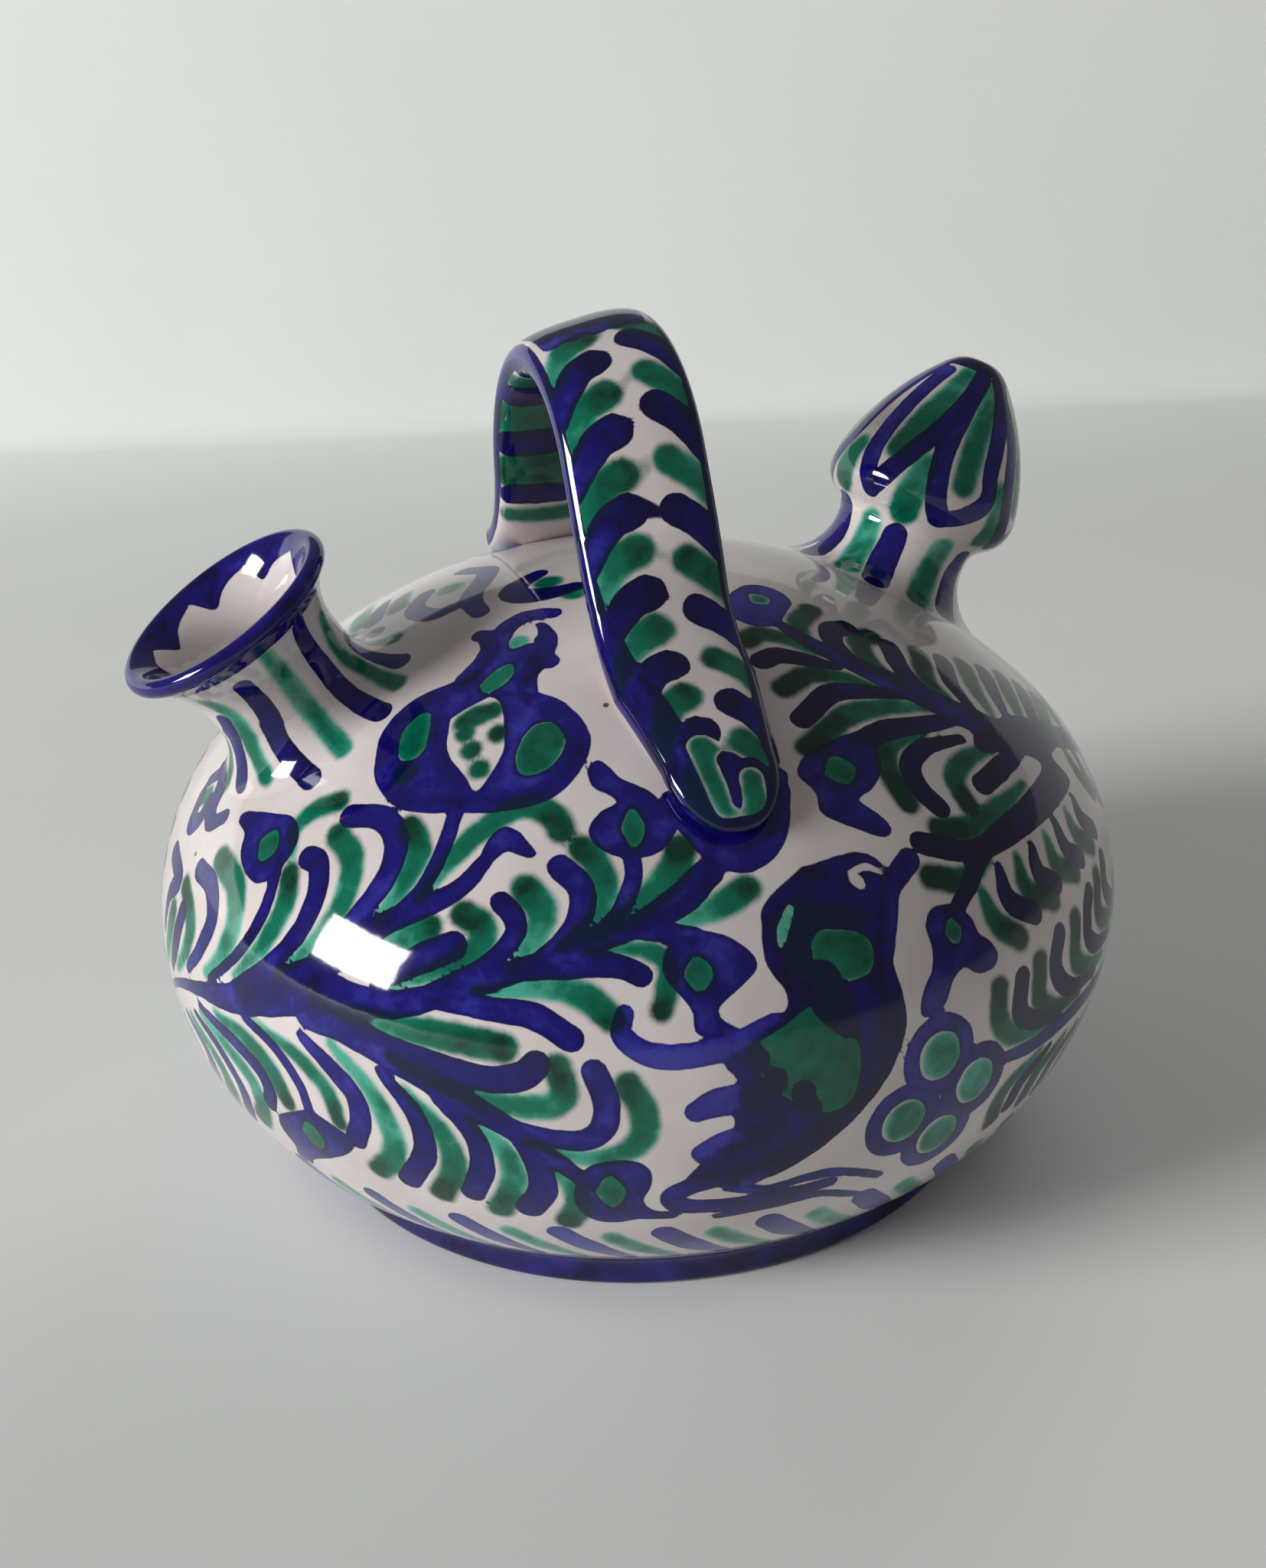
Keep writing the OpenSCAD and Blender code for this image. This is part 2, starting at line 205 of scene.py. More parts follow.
blue = add_node(tree, "Mix", {0: green_cover, 6: blue, 7: linear("#081738")}, 2, data_type="RGBA")
colour = add_node(tree, "Mix", {0: blue_cover, 6: ground, 7: blue}, 2, data_type="RGBA")

gloss = add_node(tree, "MapRange", {"Value": mottle, "To Min": 0.04, "To Max": 0.09})
peel = add_node(tree, "TexNoise", {"Vector": place, "Scale": 1 / (7 * MM), "Detail": 3.0})
relief = add_node(tree, "Bump", {"Height": peel, "Strength": 0.6, "Distance": 0.06 * MM})
surface = add_node(tree, "BsdfPrincipled",
                   {"Base Color": colour, "Roughness": gloss, "IOR": 1.5, "Normal": relief})
add_node(tree, "OutputMaterial", {"Surface": surface})


def glaze(piece, node):
    """The white glazed pieces share one glaze, ride on the one rigid body and stand for their own CAD node."""
    piece.data.materials.append(painted)
    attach(piece, "root")
    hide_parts(node)


bowl_profile = (
    straight((0, UNDERSIDE), (72, UNDERSIDE), 6)
    + arc(BELLY_X, WIDEST_Z, BELLY_R, BELLY_END, 0, 74)[1:]
    + arc(BELLY_X, WIDEST_Z, BELLY_R - WALL, 0, INNER_END, 12)
    + straight((71.9, FLOOR_TOP), (0, FLOOR_TOP), 5)
)
bowl = throw("glazed_bowl", [(0, UNDERSIDE)] + bowl_profile, TURN_STEPS)
glaze(bowl, "lower_bowl")

# Upper dome: the shoulder and the low domed top, thrown as a second bowl and set upside down on the first. The
# throat and the spout's passage are cut through its wall before the mouth and the spout are luted on.
SHOULDER_R = 50.0
DOME_R = 122.5
DOME_Z = 1.5
SHOULDER_END = 46.40
THROAT_R = 11.5
THROAT_EASE = 0.4
PASSAGE_R = 11.0
MOUTH_OUT = 68.0
MOUTH_TILT = -31.02
SPOUT_OUT = 62.0
SPOUT_TILT = 29.0


def stand(out, tilt):
    """The frame of a tube on the dome: its foot lies out from the axis along X, and its own Z leans by tilt."""
    height = DOME_Z + math.sqrt(DOME_R ** 2 - out ** 2)
    return Matrix.Translation((out * MM, 0, height * MM)) @ Matrix.Rotation(math.radians(tilt), 4, "Y")


def put(piece, where):
    """Moves a piece to its place and applies it, so that the object stays at the origin."""
    bpy.ops.object.select_all(action="DESELECT")
    piece.matrix_world = where
    piece.select_set(True)
    bpy.context.view_layer.objects.active = piece
    bpy.ops.object.transform_apply(location=True, rotation=True, scale=True)


def pierce(piece, where, radius):
    """Cuts a round hole through a wall."""
    bpy.ops.object.select_all(action="DESELECT")
    bpy.ops.mesh.primitive_cylinder_add(vertices=96, radius=radius * MM, depth=4 * WALL * MM)
    cutter = bpy.context.object
    put(cutter, where)
    bpy.ops.object.select_all(action="DESELECT")
    piece.select_set(True)
    bpy.context.view_layer.objects.active = piece
    hole = piece.modifiers.new("hole", "BOOLEAN")
    hole.object = cutter
    hole.operation = "DIFFERENCE"
    hole.solver = "EXACT"
    bpy.ops.object.modifier_apply(modifier=hole.name)
    bpy.data.objects.remove(cutter)


dome_profile = (
    arc(SHOULDER_R, WIDEST_Z, SHOULDER_R, 0, SHOULDER_END, 42)
    + arc(0, DOME_Z, DOME_R, SHOULDER_END, 90, 88)[1:]
    + arc(0, DOME_Z, DOME_R - WALL, 90, SHOULDER_END, 9)
    + arc(SHOULDER_R, WIDEST_Z, SHOULDER_R - WALL, SHOULDER_END, 0, 6)[1:]
    + [(WIDEST_R, WIDEST_Z)]
)
dome = throw("glazed_dome", dome_profile, TURN_STEPS)
pierce(dome, stand(-MOUTH_OUT, MOUTH_TILT), THROAT_R + THROAT_EASE)
pierce(dome, stand(SPOUT_OUT, SPOUT_TILT), PASSAGE_R)
glaze(dome, "upper_dome")

# Mouth: a short straight neck that opens into a trumpet funnel with a rolled lip, for filling the jug. It is thrown
# apart and stuck onto the throat with slip while both are leather-hard.
TUBE_STEPS = 200
NECK_R = 15.0
FUNNEL_X = 29.67
FUNNEL_Z = 11.0
FUNNEL_R = 14.67
LIP_X = 20.25
LIP_Z = 24.45
LIP_R = 1.75
FLARE = 125
MOUTH_WALL = 3.5
SUNK = -3.5

lip_profile = arc(LIP_X, LIP_Z, LIP_R, FLARE - 180, FLARE, 10)
mouth_profile = (
    [(THROAT_R, SUNK), (NECK_R, SUNK)]
    + straight((NECK_R, SUNK), (NECK_R, FUNNEL_Z), 20)
    + arc(FUNNEL_X, FUNNEL_Z, FUNNEL_R, 180, FLARE, 22)[1:]
    + lip_profile[1:]
    + arc(FUNNEL_X, FUNNEL_Z, FUNNEL_R + MOUTH_WALL, FLARE, 180, 26)[1:]
    + straight((THROAT_R, FUNNEL_Z), (THROAT_R, SUNK), 8)
)
mouth = throw("glazed_mouth", mouth_profile, TUBE_STEPS)
put(mouth, stand(-MOUTH_OUT, MOUTH_TILT))
glaze(mouth, "mouth")

# Mouth luting: the roll of soft clay pressed round the foot of the neck and smoothed with a wet finger into one
# hollow curve from the neck down to the dome.
MOUTH_CURVE_R = 10.0
MOUTH_LEAN = math.tan(math.radians(2.7))
LUTE_DIP = 0.12
LUTE_BITE = 1.5
LUTE_FOOT = -4.0
LUTE_HEAD = 1.2
LEAN_WITHIN = 6.0


def lute(name, tube_r, curve_r, lean):
    """A hollow ring that dips under a tube and under the dome, which lies askew to the tube by lean."""
    inner = tube_r - LUTE_BITE
    curve_x = tube_r + curve_r
    curve_z = math.sqrt((DOME_R + curve_r) ** 2 - curve_x ** 2) - DOME_R - LUTE_DIP
    last = 180 + math.degrees(math.atan2(DOME_R + curve_z, curve_x))
    profile = (
        [(inner, LUTE_FOOT), (inner, curve_z + LUTE_HEAD), (tube_r - 0.5, curve_z + LUTE_HEAD)]
        + arc(curve_x - LUTE_DIP, curve_z, curve_r, 176, last, 24)
        + [(curve_x - 2, LUTE_FOOT - 0.5), (inner, LUTE_FOOT)]
    )
    ring = throw(name, profile, TUBE_STEPS)
    for vertex in ring.data.vertices:
        reach = math.hypot(vertex.co.x, vertex.co.y) / MM - tube_r
        vertex.co.z += min(max(reach / LEAN_WITHIN, 0), 1) * lean * vertex.co.x
    return ring


mouth_ring = lute("glazed_mouth_luting", NECK_R, MOUTH_CURVE_R, MOUTH_LEAN)
put(mouth_ring, stand(-MOUTH_OUT, MOUTH_TILT))
glaze(mouth_ring, "mouth_luting")

# Spout: a hollow bud on a short stem, drawn in to a dark tip with a hole of 4 mm, from which the jug is drunk in a
# thin jet. It is thrown closed, pierced and luted onto the passage in the dome.
BUD_X = 13.0
BUD_Z = 21.0
BUD_EDGE = 8.0
WAIST_R = 4.0
WAIST_Z = 10.6
FLANK = (-32.7, 10.5, 55)
FLANK_FROM = 14.1
TIP_Z = 51.0

spout_profile = (
    [(PASSAGE_R, SUNK), (NECK_R, SUNK)]
    + straight((NECK_R, SUNK), (NECK_R, WAIST_Z), 16)
    + arc(NECK_R + WAIST_R, WAIST_Z, WAIST_R, 180, 120, 7)[1:]
    + arc(BUD_X, BUD_Z, BUD_EDGE, -60, 0, 12)[1:]
    + arc(9, BUD_Z, 12, 0, FLANK_FROM, 5)[1:]
    + arc(*FLANK, FLANK_FROM, 42.5, 40)[1:]
    + [(7.1, 48.5), (6.1, 49.4), (5.0, 50.2), (3.9, 50.7), (2.9, 50.9), (2.2, 50.7), (2.0, 50.1), (2.0, 47.5)]
    + [(6.0, 42.5), (10.5, 36.0), (14.0, 29.0), (16.6, 22.5), (15.0, 17.5)]
    + [(PASSAGE_R, 15.0), (PASSAGE_R, SUNK)]
)
spout = throw("glazed_spout", spout_profile, TUBE_STEPS)
put(spout, stand(SPOUT_OUT, SPOUT_TILT))
glaze(spout, "spout")

# Spout luting: a roll of the same soft clay round the foot of the spout's stem, smoothed down with a wet finger
# like the one at the mouth, in a slightly wider hollow curve.
SPOUT_CURVE_R = 13.0
SPOUT_LEAN = -math.tan(math.radians(1.4))

spout_ring = lute("glazed_spout_luting", NECK_R, SPOUT_CURVE_R, SPOUT_LEAN)
put(spout_ring, stand(SPOUT_OUT, SPOUT_TILT))
glaze(spout_ring, "spout_luting")

# Handle: a flat strap pulled from a roll of clay, arched over the top along Y. Its two ends are pressed down on
# the dome as tongues that thin out and round off, and its crown tilts a little towards the mouth.
STRAP_W = 26.0
STRAP_T = 9.0
TONGUE_W = 20.0
TONGUE_ARC = DOME_R + STRAP_T / 6
FRONT_TONGUE = 31.0
REAR_TONGUE = 20.0
CROWN_R = 29.0
CROWN = np.array([-4.0, 136.5])
CROWN_TILT = 12.0
FRONT_LEAN = math.radians(25)
FRONT_BEND_R = 30
REAR_BEND_R = 14
DOME_TOP = DOME_Z + DOME_R
STRAP_X = -7.0
STRAP_TURN = math.radians(-7)
ROUND_FROM = 0.55
TIP_THIN = 0.35
SQUARENESS = 0.7


def bearing(v):
    return math.degrees(math.atan2(v[1], v[0]))


def bend_centre(leg, down, out, radius):
    """Centre of the bend that leaves a leg and touches the line along the dome."""
    side = leg + radius * out - dome_centre
    fall = side @ down
    return leg + radius * out - down * (fall + math.sqrt(fall ** 2 - side @ side + (TONGUE_ARC + radius) ** 2))


dome_centre = np.array([0, DOME_Z])
front_out = np.array([-math.cos(FRONT_LEAN), math.sin(FRONT_LEAN)])
front_down = np.array([-math.sin(FRONT_LEAN), -math.cos(FRONT_LEAN)])
rear_out = np.array([1.0, 0.0])
front_bend = bend_centre(CROWN + CROWN_R * front_out, front_down, front_out, FRONT_BEND_R)
rear_bend = bend_centre(CROWN + CROWN_R * rear_out, np.array([0.0, -1.0]), rear_out, REAR_BEND_R)
front_touch = bearing(front_bend - dome_centre)
rear_touch = bearing(rear_bend - dome_centre)
strap_line = np.array(
    arc(0, DOME_Z, TONGUE_ARC, front_touch + math.degrees(FRONT_TONGUE / TONGUE_ARC), front_touch, 30)
    + arc(*front_bend, FRONT_BEND_R, front_touch - 180, bearing(front_out) - 180, 16)[1:]
    + arc(*CROWN, CROWN_R, bearing(front_out), 0, 60)
    + arc(*rear_bend, REAR_BEND_R, 180, rear_touch + 180, 16)
    + arc(0, DOME_Z, TONGUE_ARC, rear_touch, rear_touch - math.degrees(REAR_TONGUE / TONGUE_ARC), 20)[1:]
)
strap_run = np.r_[0, np.cumsum(np.hypot(*np.diff(strap_line, axis=0).T))]
STRAP_LENGTH = strap_run[-1]


def on_line(along):
    """Spots on the strap's middle line, as (y, z) before it is turned."""
    return np.array([np.interp(along, strap_run, strap_line[:, i]) for i in (0, 1)])


def turn_strap(x, y):
    """Turns spots about the upright axis to the way the strap runs, and moves them to where it stands."""
    return (STRAP_X + x * math.cos(STRAP_TURN) - y * math.sin(STRAP_TURN),
            x * math.sin(STRAP_TURN) + y * math.cos(STRAP_TURN))


def strap_point(along, side, thick):
    """A spot of the strap: along its length in mm, and side and thick from -1 to 1 across its section."""
    here = on_line(along)
    run = on_line(along + 0.8) - on_line(along - 0.8)
    run = run / np.hypot(*run)
    end = np.maximum(1 - along / FRONT_TONGUE, 1 - (STRAP_LENGTH - along) / REAR_TONGUE).clip(0, 1)
    rounding = np.sqrt(1 - ((end - ROUND_FROM) / (1 - ROUND_FROM)).clip(0, 1) ** 2)
    across = side * rounding * (STRAP_W + (TONGUE_W - STRAP_W) * (end / ROUND_FROM).clip(0, 1)) / 2
    above = thick * rounding * (1 - TIP_THIN * end) * STRAP_T / 2
    tilt = np.radians(CROWN_TILT) * ((here[1] - DOME_TOP) / (CROWN[1] - DOME_TOP)).clip(0, 1)
    x = across * np.cos(tilt) - above * np.sin(tilt)
    lift = above * np.cos(tilt) + across * np.sin(tilt)
    y = here[0] - lift * run[1]
    z = here[1] + lift * run[0]
    return np.stack([*turn_strap(x, y), z], -1)


bpy.ops.object.select_all(action="DESELECT")
bpy.ops.mesh.primitive_grid_add(x_subdivisions=64, y_subdivisions=290, size=1)
handle = bpy.context.object
handle.name = "glazed_handle"
handle.data.name = "glazed_handle"
sheet = np.empty(len(handle.data.vertices) * 3)
handle.data.vertices.foreach_get("co", sheet)
sheet = sheet.reshape(-1, 3)
round_it, along_it = sheet[:, 0] * 2 * math.pi, (sheet[:, 1] + 0.5) * STRAP_LENGTH
sides = np.sign(np.cos(round_it)) * np.abs(np.cos(round_it)) ** SQUARENESS
faces = np.sign(np.sin(round_it)) * np.abs(np.sin(round_it)) ** SQUARENESS
handle.data.vertices.foreach_set("co", (strap_point(along_it, sides, faces) * MM).ravel())
bpy.ops.object.mode_set(mode="EDIT")
bpy.ops.mesh.select_all(action="SELECT")
bpy.ops.mesh.remove_doubles(threshold=0.01 * MM)
bpy.ops.mesh.normals_make_consistent(inside=False)
bpy.ops.object.mode_set(mode="OBJECT")
bpy.ops.object.shade_smooth_by_angle(angle=math.radians(60))
glaze(handle, "handle_strap")

# Brush painting on the body: fronds of curled leaves in blue and green on blue stems, laid stroke by stroke on the
# raw glaze. A place is (degrees round the axis, mm up the surface from the widest ring), and the back repeats it.
BLUE = "blue"
GREEN = "green"
BARE = "bare"
HAND = 0.12
SHOULDER_S = SHOULDER_R * math.radians(SHOULDER_END)
strokes = []


def on_body(points):
    """Spots on the outside of the body, in mm."""
    turn, s = np.radians(points[:, 0]), points[:, 1]
    low, mid = s / BELLY_R, s / SHOULDER_R
    top = math.radians(SHOULDER_END) + (s - SHOULDER_S) / DOME_R
    r = np.where(s < 0, BELLY_X + BELLY_R * np.cos(low),
                 np.where(s < SHOULDER_S, SHOULDER_R + SHOULDER_R * np.cos(mid), DOME_R * np.cos(top)))
    z = np.where(s < 0, WIDEST_Z + BELLY_R * np.sin(low),
                 np.where(s < SHOULDER_S, WIDEST_Z + SHOULDER_R * np.sin(mid), DOME_Z + DOME_R * np.sin(top)))
    return np.stack([r * np.cos(turn), r * np.sin(turn), z], -1)


def flowing(route, spans=6):
    """A smooth curve through the points of a route."""
    p = np.array(route, float)
    p = np.vstack([2 * p[0] - p[1], p, 2 * p[-1] - p[-2]])
    t = np.linspace(0, 1, spans, endpoint=False)[:, None]
    curve = [
        0.5 * (2 * b + (c - a) * t + (2 * a - 5 * b + 4 * c - d) * t ** 2 + (3 * b - a - 3 * c + d) * t ** 3)
        for a, b, c, d in zip(p, p[1:], p[2:], p[3:])
    ]
    return np.vstack(curve + [p[-2:-1]])


def brush(pigment, place, route, widths, loads):
    """One stroke. Its widths in mm and its loads of pigment, 0 to 1, are spread evenly from start to end."""
    line = place(flowing(route))
    share = np.linspace(0, 1, len(line))
    half = np.interp(share, np.linspace(0, 1, len(widths)), widths) / 2
    uneven = HAND * math.sin(2.4 * len(strokes))
    load = np.interp(share, np.linspace(0, 1, len(loads)), loads) + uneven
    strokes.append((pigment, "line", line, half, load))


def leaf(pigment, *route, wide=1.0, more=0.0, sides=(0, 180)):
    """A leaf of a frond: the brush lands light at the stem and presses into a round head, full of pigment."""
    widths = {BLUE: (2.2, 4.0, 4.7, 4.5), GREEN: (2.4, 4.5, 5.4, 5.2)}[pigment]
    loads = {BLUE: (0.4, 0.5, 0.65), GREEN: (0.2, 0.45, 0.6, 1.1)}[pigment]
    for side in sides:
        brush(pigment, lambda spots: on_body(spots + (side, 0)), route, [w * wide for w in widths],
              [load + more for load in loads])


def frond(first, *leaves, more=0.0):
    """Leaves of the first pigment and the other by turns: each a route, after its width where that isn't 1."""
    second = GREEN if first == BLUE else BLUE
    for k, spots in enumerate(leaves):
        wide, *route = spots if isinstance(spots[0], float) else (1.0, *spots)
        leaf((first, second)[k % 2], *route, wide=wide, more=more)


def line(pigment, widths, *route, load=0.45, sides=(0, 180)):
    """A drawn line of the given widths from start to end."""
    for side in sides:
        brush(pigment, lambda spots: on_body(spots + (side, 0)), route, widths, (load, load))


def dot(pigment, radius, at, load=0.6, sides=(0, 180)):
    line(pigment, (2 * radius, 2 * radius), at, (at[0], at[1] + 0.3), load=load, sides=sides)


def fill(pigment, load, *outline, sides=(0, 180)):
    """A filled shape with a closed outline."""
    for side in sides:
        edge = on_body(flowing(outline + outline[:1]) + (side, 0))
        strokes.append((pigment, "shape", edge[:-1], np.array([0.0]), np.array([load])))


# The left frond's trunk and its three stems
line(BLUE, (1.5, 2, 3, 5.5, 7.5, 7), (-188, -10), (-178, 0), (-170, 5), (-163, 8), (-155, 13), (-150, 16))
line(BLUE, (7, 5, 3), (-150, 13), (-145, 12), (-138, 8), (-132, 3), (-127, -2), (-123, -8), (-120.5, -13))
line(BLUE, (6, 4.5, 3.5, 3), (-150, 18), (-141, 17.5), (-133, 22), (-122, 29), (-110, 36), (-105.5, 42))
line(BLUE, (7, 5, 4, 3), (-160, 10), (-150, 20), (-143, 30), (-135, 38), (-132.5, 43.5))
line(BLUE, (2.4, 4.8, 2), (-132.5, 43.5), (-130.5, 48), (-127, 45.8))

# Leaves above the trunk and the top stem
frond(BLUE,
      ((-184, 7), (-183, 15), (-180.5, 20), (-186, 22)),
      ((-184, 0), (-181.5, 6), (-180, 14)),
      ((-180, 2), (-178, 8), (-176.5, 16)),
      ((-177, 4), (-174, 10), (-173.5, 16), (-177.5, 20.5)),
      ((-173, 7), (-170, 13), (-168.5, 20), (-171, 25), (-175, 25.5)),
      (1.15, (-168, 9.5), (-165, 15), (-164, 22), (-166, 28), (-171, 30)))
frond(GREEN,
      ((-162, 13), (-158, 21), (-156.5, 29), (-157.5, 34)),
      ((-162, 11), (-156, 19), (-153, 26), (-152.5, 33), (-154, 37.5), (-156, 38)),
      ((-155, 17), (-150.5, 25), (-148.5, 33), (-149.5, 40), (-153.5, 43.5)),
      (1.05, (-150.5, 22), (-146.5, 30), (-144, 38), (-144.5, 45), (-148, 48.5), (-153, 47.5)),
      ((-143.5, 31), (-141.5, 38), (-141, 44), (-143.5, 48)))
leaf(GREEN, (-139, 36), (-137, 42), (-134, 49), (-129, 54.5), (-125, 53), (-123.5, 50))
leaf(GREEN, (-158.5, 37), (-160.5, 42), (-159, 46.5), (-156, 49.5), wide=0.9)

# Leaves above the middle stem
frond(GREEN,
      ((-144, 24), (-140, 28.5), (-137, 31.5)),
      (1.15, (-142, 21), (-138, 25.5), (-134, 29)),
      ((-140, 21), (-135, 25), (-131.5, 29), (-131, 32.5), (-133.5, 34.5)),
      (0.85, (-136, 21.5), (-130, 27), (-127.5, 32), (-128, 35), (-129.5, 37)),
      (1.1, (-127.5, 26.5), (-125.5, 31), (-124.8, 36), (-127, 39.5)),
      ((-127, 25.5), (-123, 30), (-120.7, 35), (-120.8, 40), (-123.3, 43.5)),
      ((-122.5, 30), (-119, 35), (-118, 40), (-119.5, 45), (-121, 47)))
frond(GREEN,
      (1.15, (-119.5, 31.5), (-114, 37), (-110.5, 42), (-109.3, 46)),
      (1.15, (-115, 34), (-110, 37.5), (-106.5, 41.5)),
      ((-110, 33.5), (-106, 35.5), (-102.5, 38)))

# Leaves below the middle stem and right of the lower stem
frond(GREEN,
      (0.8, (-120, 29.5), (-115, 29.7), (-112, 27.5), (-112.2, 22.5), (-112.8, 19.5)),
      (0.85, (-128, 25), (-122, 26.5), (-117, 27), (-114.5, 25.3)),
      ((-131, 22), (-124, 23.5), (-120, 22), (-117.5, 18.5)),
      ((-136, 19.5), (-130, 19.5), (-125, 18.7), (-121.5, 15.3)),
      (1.1, (-148, 14.8), (-140, 14.5), (-133, 14), (-128, 13.3)),
      (1.1, (-145, 13), (-137, 10), (-130, 7.7), (-126.5, 8.5), (-124.8, 10.8)),
      ((-140, 9), (-135, 6), (-129, 3.5), (-124, 3.5), (-122.3, 6), (-122.8, 10.5)),
      ((-131, 2), (-126, -1.5), (-121.5, -3), (-119, -1), (-118.3, 4), (-119.3, 9.8)),
      ((-126, -3.5), (-121, -6.5), (-117, -5.5), (-115, -2), (-115, 3), (-116.2, 7.5)))

# Leaves that hang from the lower stem and the trunk
frond(GREEN,
      ((-123.8, -9.5), (-122, -14), (-122, -19), (-123.2, -23.5)),
      (1.15, (-127, -3), (-125.3, -9), (-125.3, -15), (-127, -20)),
      ((-131.5, -0.5), (-128.5, -6), (-128, -13), (-130.3, -21.5)),
      ((-135, 3), (-131.5, -3), (-131, -10), (-132.8, -17.5)),
      ((-138.5, 3.5), (-135, -3), (-134, -11), (-136.5, -19.5)),
      ((-141, 6), (-137.5, -1), (-137, -9), (-140, -17.5)),
      ((-147, 8.5), (-142.5, 2), (-140.5, -6), (-141, -12), (-143.5, -17)),
      ((-151, 8), (-147.5, 4.5), (-144.5, 0), (-144, -5), (-145.3, -10.3)),
      (0.8, (-158, 6.5), (-152, 4), (-148, -1), (-147, -7.5)))
frond(GREEN,
      ((-166, 3), (-160, 2), (-156, -2), (-154.5, -7.5)),
      (0.85, (-170, 1.5), (-163, 0), (-158.5, -3), (-157.2, -7), (-158, -10.8)),
      ((-170, 0), (-165, -2.5), (-160.5, -7), (-160, -13), (-162, -18.5)),
      (0.8, (-172, -1.5), (-167, -4.5), (-164, -10), (-164, -15), (-166, -21.5)),
      ((-174, -3.5), (-169, -8), (-167.5, -14), (-170, -21)),
      ((-176, -5), (-172, -9), (-172, -15), (-176, -22)),
      ((-180, -8), (-177, -13), (-178.5, -20)))

# The right frond: a dark root beside the handle's side, a stem up to the crown and one down to the belly
fill(BLUE, 0.9, (-57.5, 52.5), (-54, 56.5), (-51.5, 51), (-47.5, 49), (-43.5, 46), (-41, 41.5), (-42, 37),
     (-46.5, 37), (-46.5, 31.5), (-52, 30.8), (-60, 30.8), (-70, 31), (-75, 31.5), (-70, 35.8), (-60, 37),
     (-51, 38.2), (-54, 43.5), (-61, 48.5))
line(BLUE, (8, 7, 5, 3), (-53, 48), (-57, 55), (-62, 65), (-67, 75), (-71, 84), (-72, 90), load=0.3)
line(BLUE, (5, 4, 3), (-66, 33.5), (-72, 33), (-76, 29), (-80, 25), load=0.8)
frond(GREEN,
      ((-72, 80), (-75, 86), (-80, 89.5), (-85, 88.5)),
      ((-71, 76), (-76, 80), (-81, 83), (-85.5, 82.5)),
      ((-68, 69), (-73, 74), (-79, 76.5), (-85.5, 75)),
      ((-65, 65), (-71, 69), (-78, 71), (-86, 67.5)),
      ((-62, 60), (-69, 64), (-78, 65.5), (-88, 61.5)),
      ((-58, 55), (-65, 57.5), (-73, 60), (-80, 59.5)),
      ((-68, 56.5), (-75, 57), (-78, 53), (-78.5, 46)),
      ((-62, 52), (-69, 54), (-74, 52.5), (-75.5, 48), (-74.5, 43)),
      ((-57, 47), (-64, 48.5), (-69, 46.5), (-70, 41)),
      ((-52, 43), (-58, 43.5), (-65.5, 43)), more=0.45)
frond(BLUE,
      (1.1, (-66, 72), (-66, 80), (-62, 84), (-57, 83)),
      (1.1, (-62, 66), (-63, 74), (-59, 79), (-54.5, 78.5)),
      (1.1, (-59, 62), (-58.5, 69), (-54, 74.5)),
      ((-70, 85), (-67, 89), (-58, 90.5)), more=0.45)
frond(GREEN,
      ((-56.5, 58), (-55.5, 65), (-49.5, 69.5)),
      ((-54, 54), (-51.5, 61), (-46, 65)),
      ((-51, 51), (-47.5, 57), (-42, 61)),
      ((-48, 49), (-43.5, 53.5), (-38.5, 56.5)),
      ((-45, 46), (-40.5, 49.5), (-35, 52)),
      ((-43, 43), (-38, 45), (-32.5, 47)),
      ((-42, 39.5), (-37, 40.5), (-31, 42)), more=0.45)
line(BLUE, (7, 5, 3.5, 2.5), (-43, 41), (-36, 34), (-29, 25), (-23, 13), (-19, 2), (-17, -9), load=0.6)
frond(GREEN,
      ((-34.5, 33.5), (-30.5, 36.5), (-25.5, 38)),
      ((-31.5, 29), (-26.5, 32), (-21, 33)),
      ((-28.5, 24), (-23.5, 27), (-17.5, 27.5)),
      ((-26, 19), (-20.5, 21.5), (-14.5, 21.5)),
      ((-23, 14), (-18, 16), (-12, 15.5)),
      ((-21, 8.5), (-16.5, 10.5), (-11, 9.5)),
      ((-19.5, 3.5), (-15.5, 5), (-10.5, 3.5)),
      ((-18, -2), (-14.5, -1), (-10.5, -3)),
      ((-40, 36), (-42, 30), (-40.5, 24.5)),
      ((-36.5, 33), (-39, 26.5), (-37.5, 20.5)),
      ((-33, 29), (-35.5, 22.5), (-34.5, 16)),
      ((-29.5, 24), (-32.5, 18), (-31.5, 11.5)),
      ((-26.5, 19), (-29.5, 13), (-28.5, 6.5)),
      ((-24, 14), (-26.8, 8), (-26, 1.5)),
      ((-22, 8.5), (-24.5, 3), (-23.8, -4)),
      ((-20, 3), (-22.5, -3), (-22, -10)),
      ((-18, -4), (-20.3, -9), (-20, -16)), more=0.45)
frond(GREEN,
      ((-58, 38.5), (-66, 38), (-72, 37.5), (-76.5, 39.5)),
      ((-68, 34), (-74, 34), (-77, 36), (-80, 38.5)),
      ((-72, 31), (-77, 30), (-81, 32.5)), more=0.45)
frond(GREEN,
      ((-75, 27), (-74.5, 21), (-71.5, 16)),
      ((-71, 29), (-71.5, 23), (-68, 18.5)),
      ((-67.5, 29), (-68, 23), (-64, 18.5)),
      ((-64, 29), (-65, 24), (-62.5, 20.5)),
      ((-60.5, 29), (-61, 23), (-57.5, 19.5)),
      ((-57, 30), (-57.5, 24), (-55, 20.5)),
      ((-53, 29), (-53.5, 24), (-50.5, 20)),
      ((-49, 29), (-50, 25), (-47.5, 21)), more=0.45)

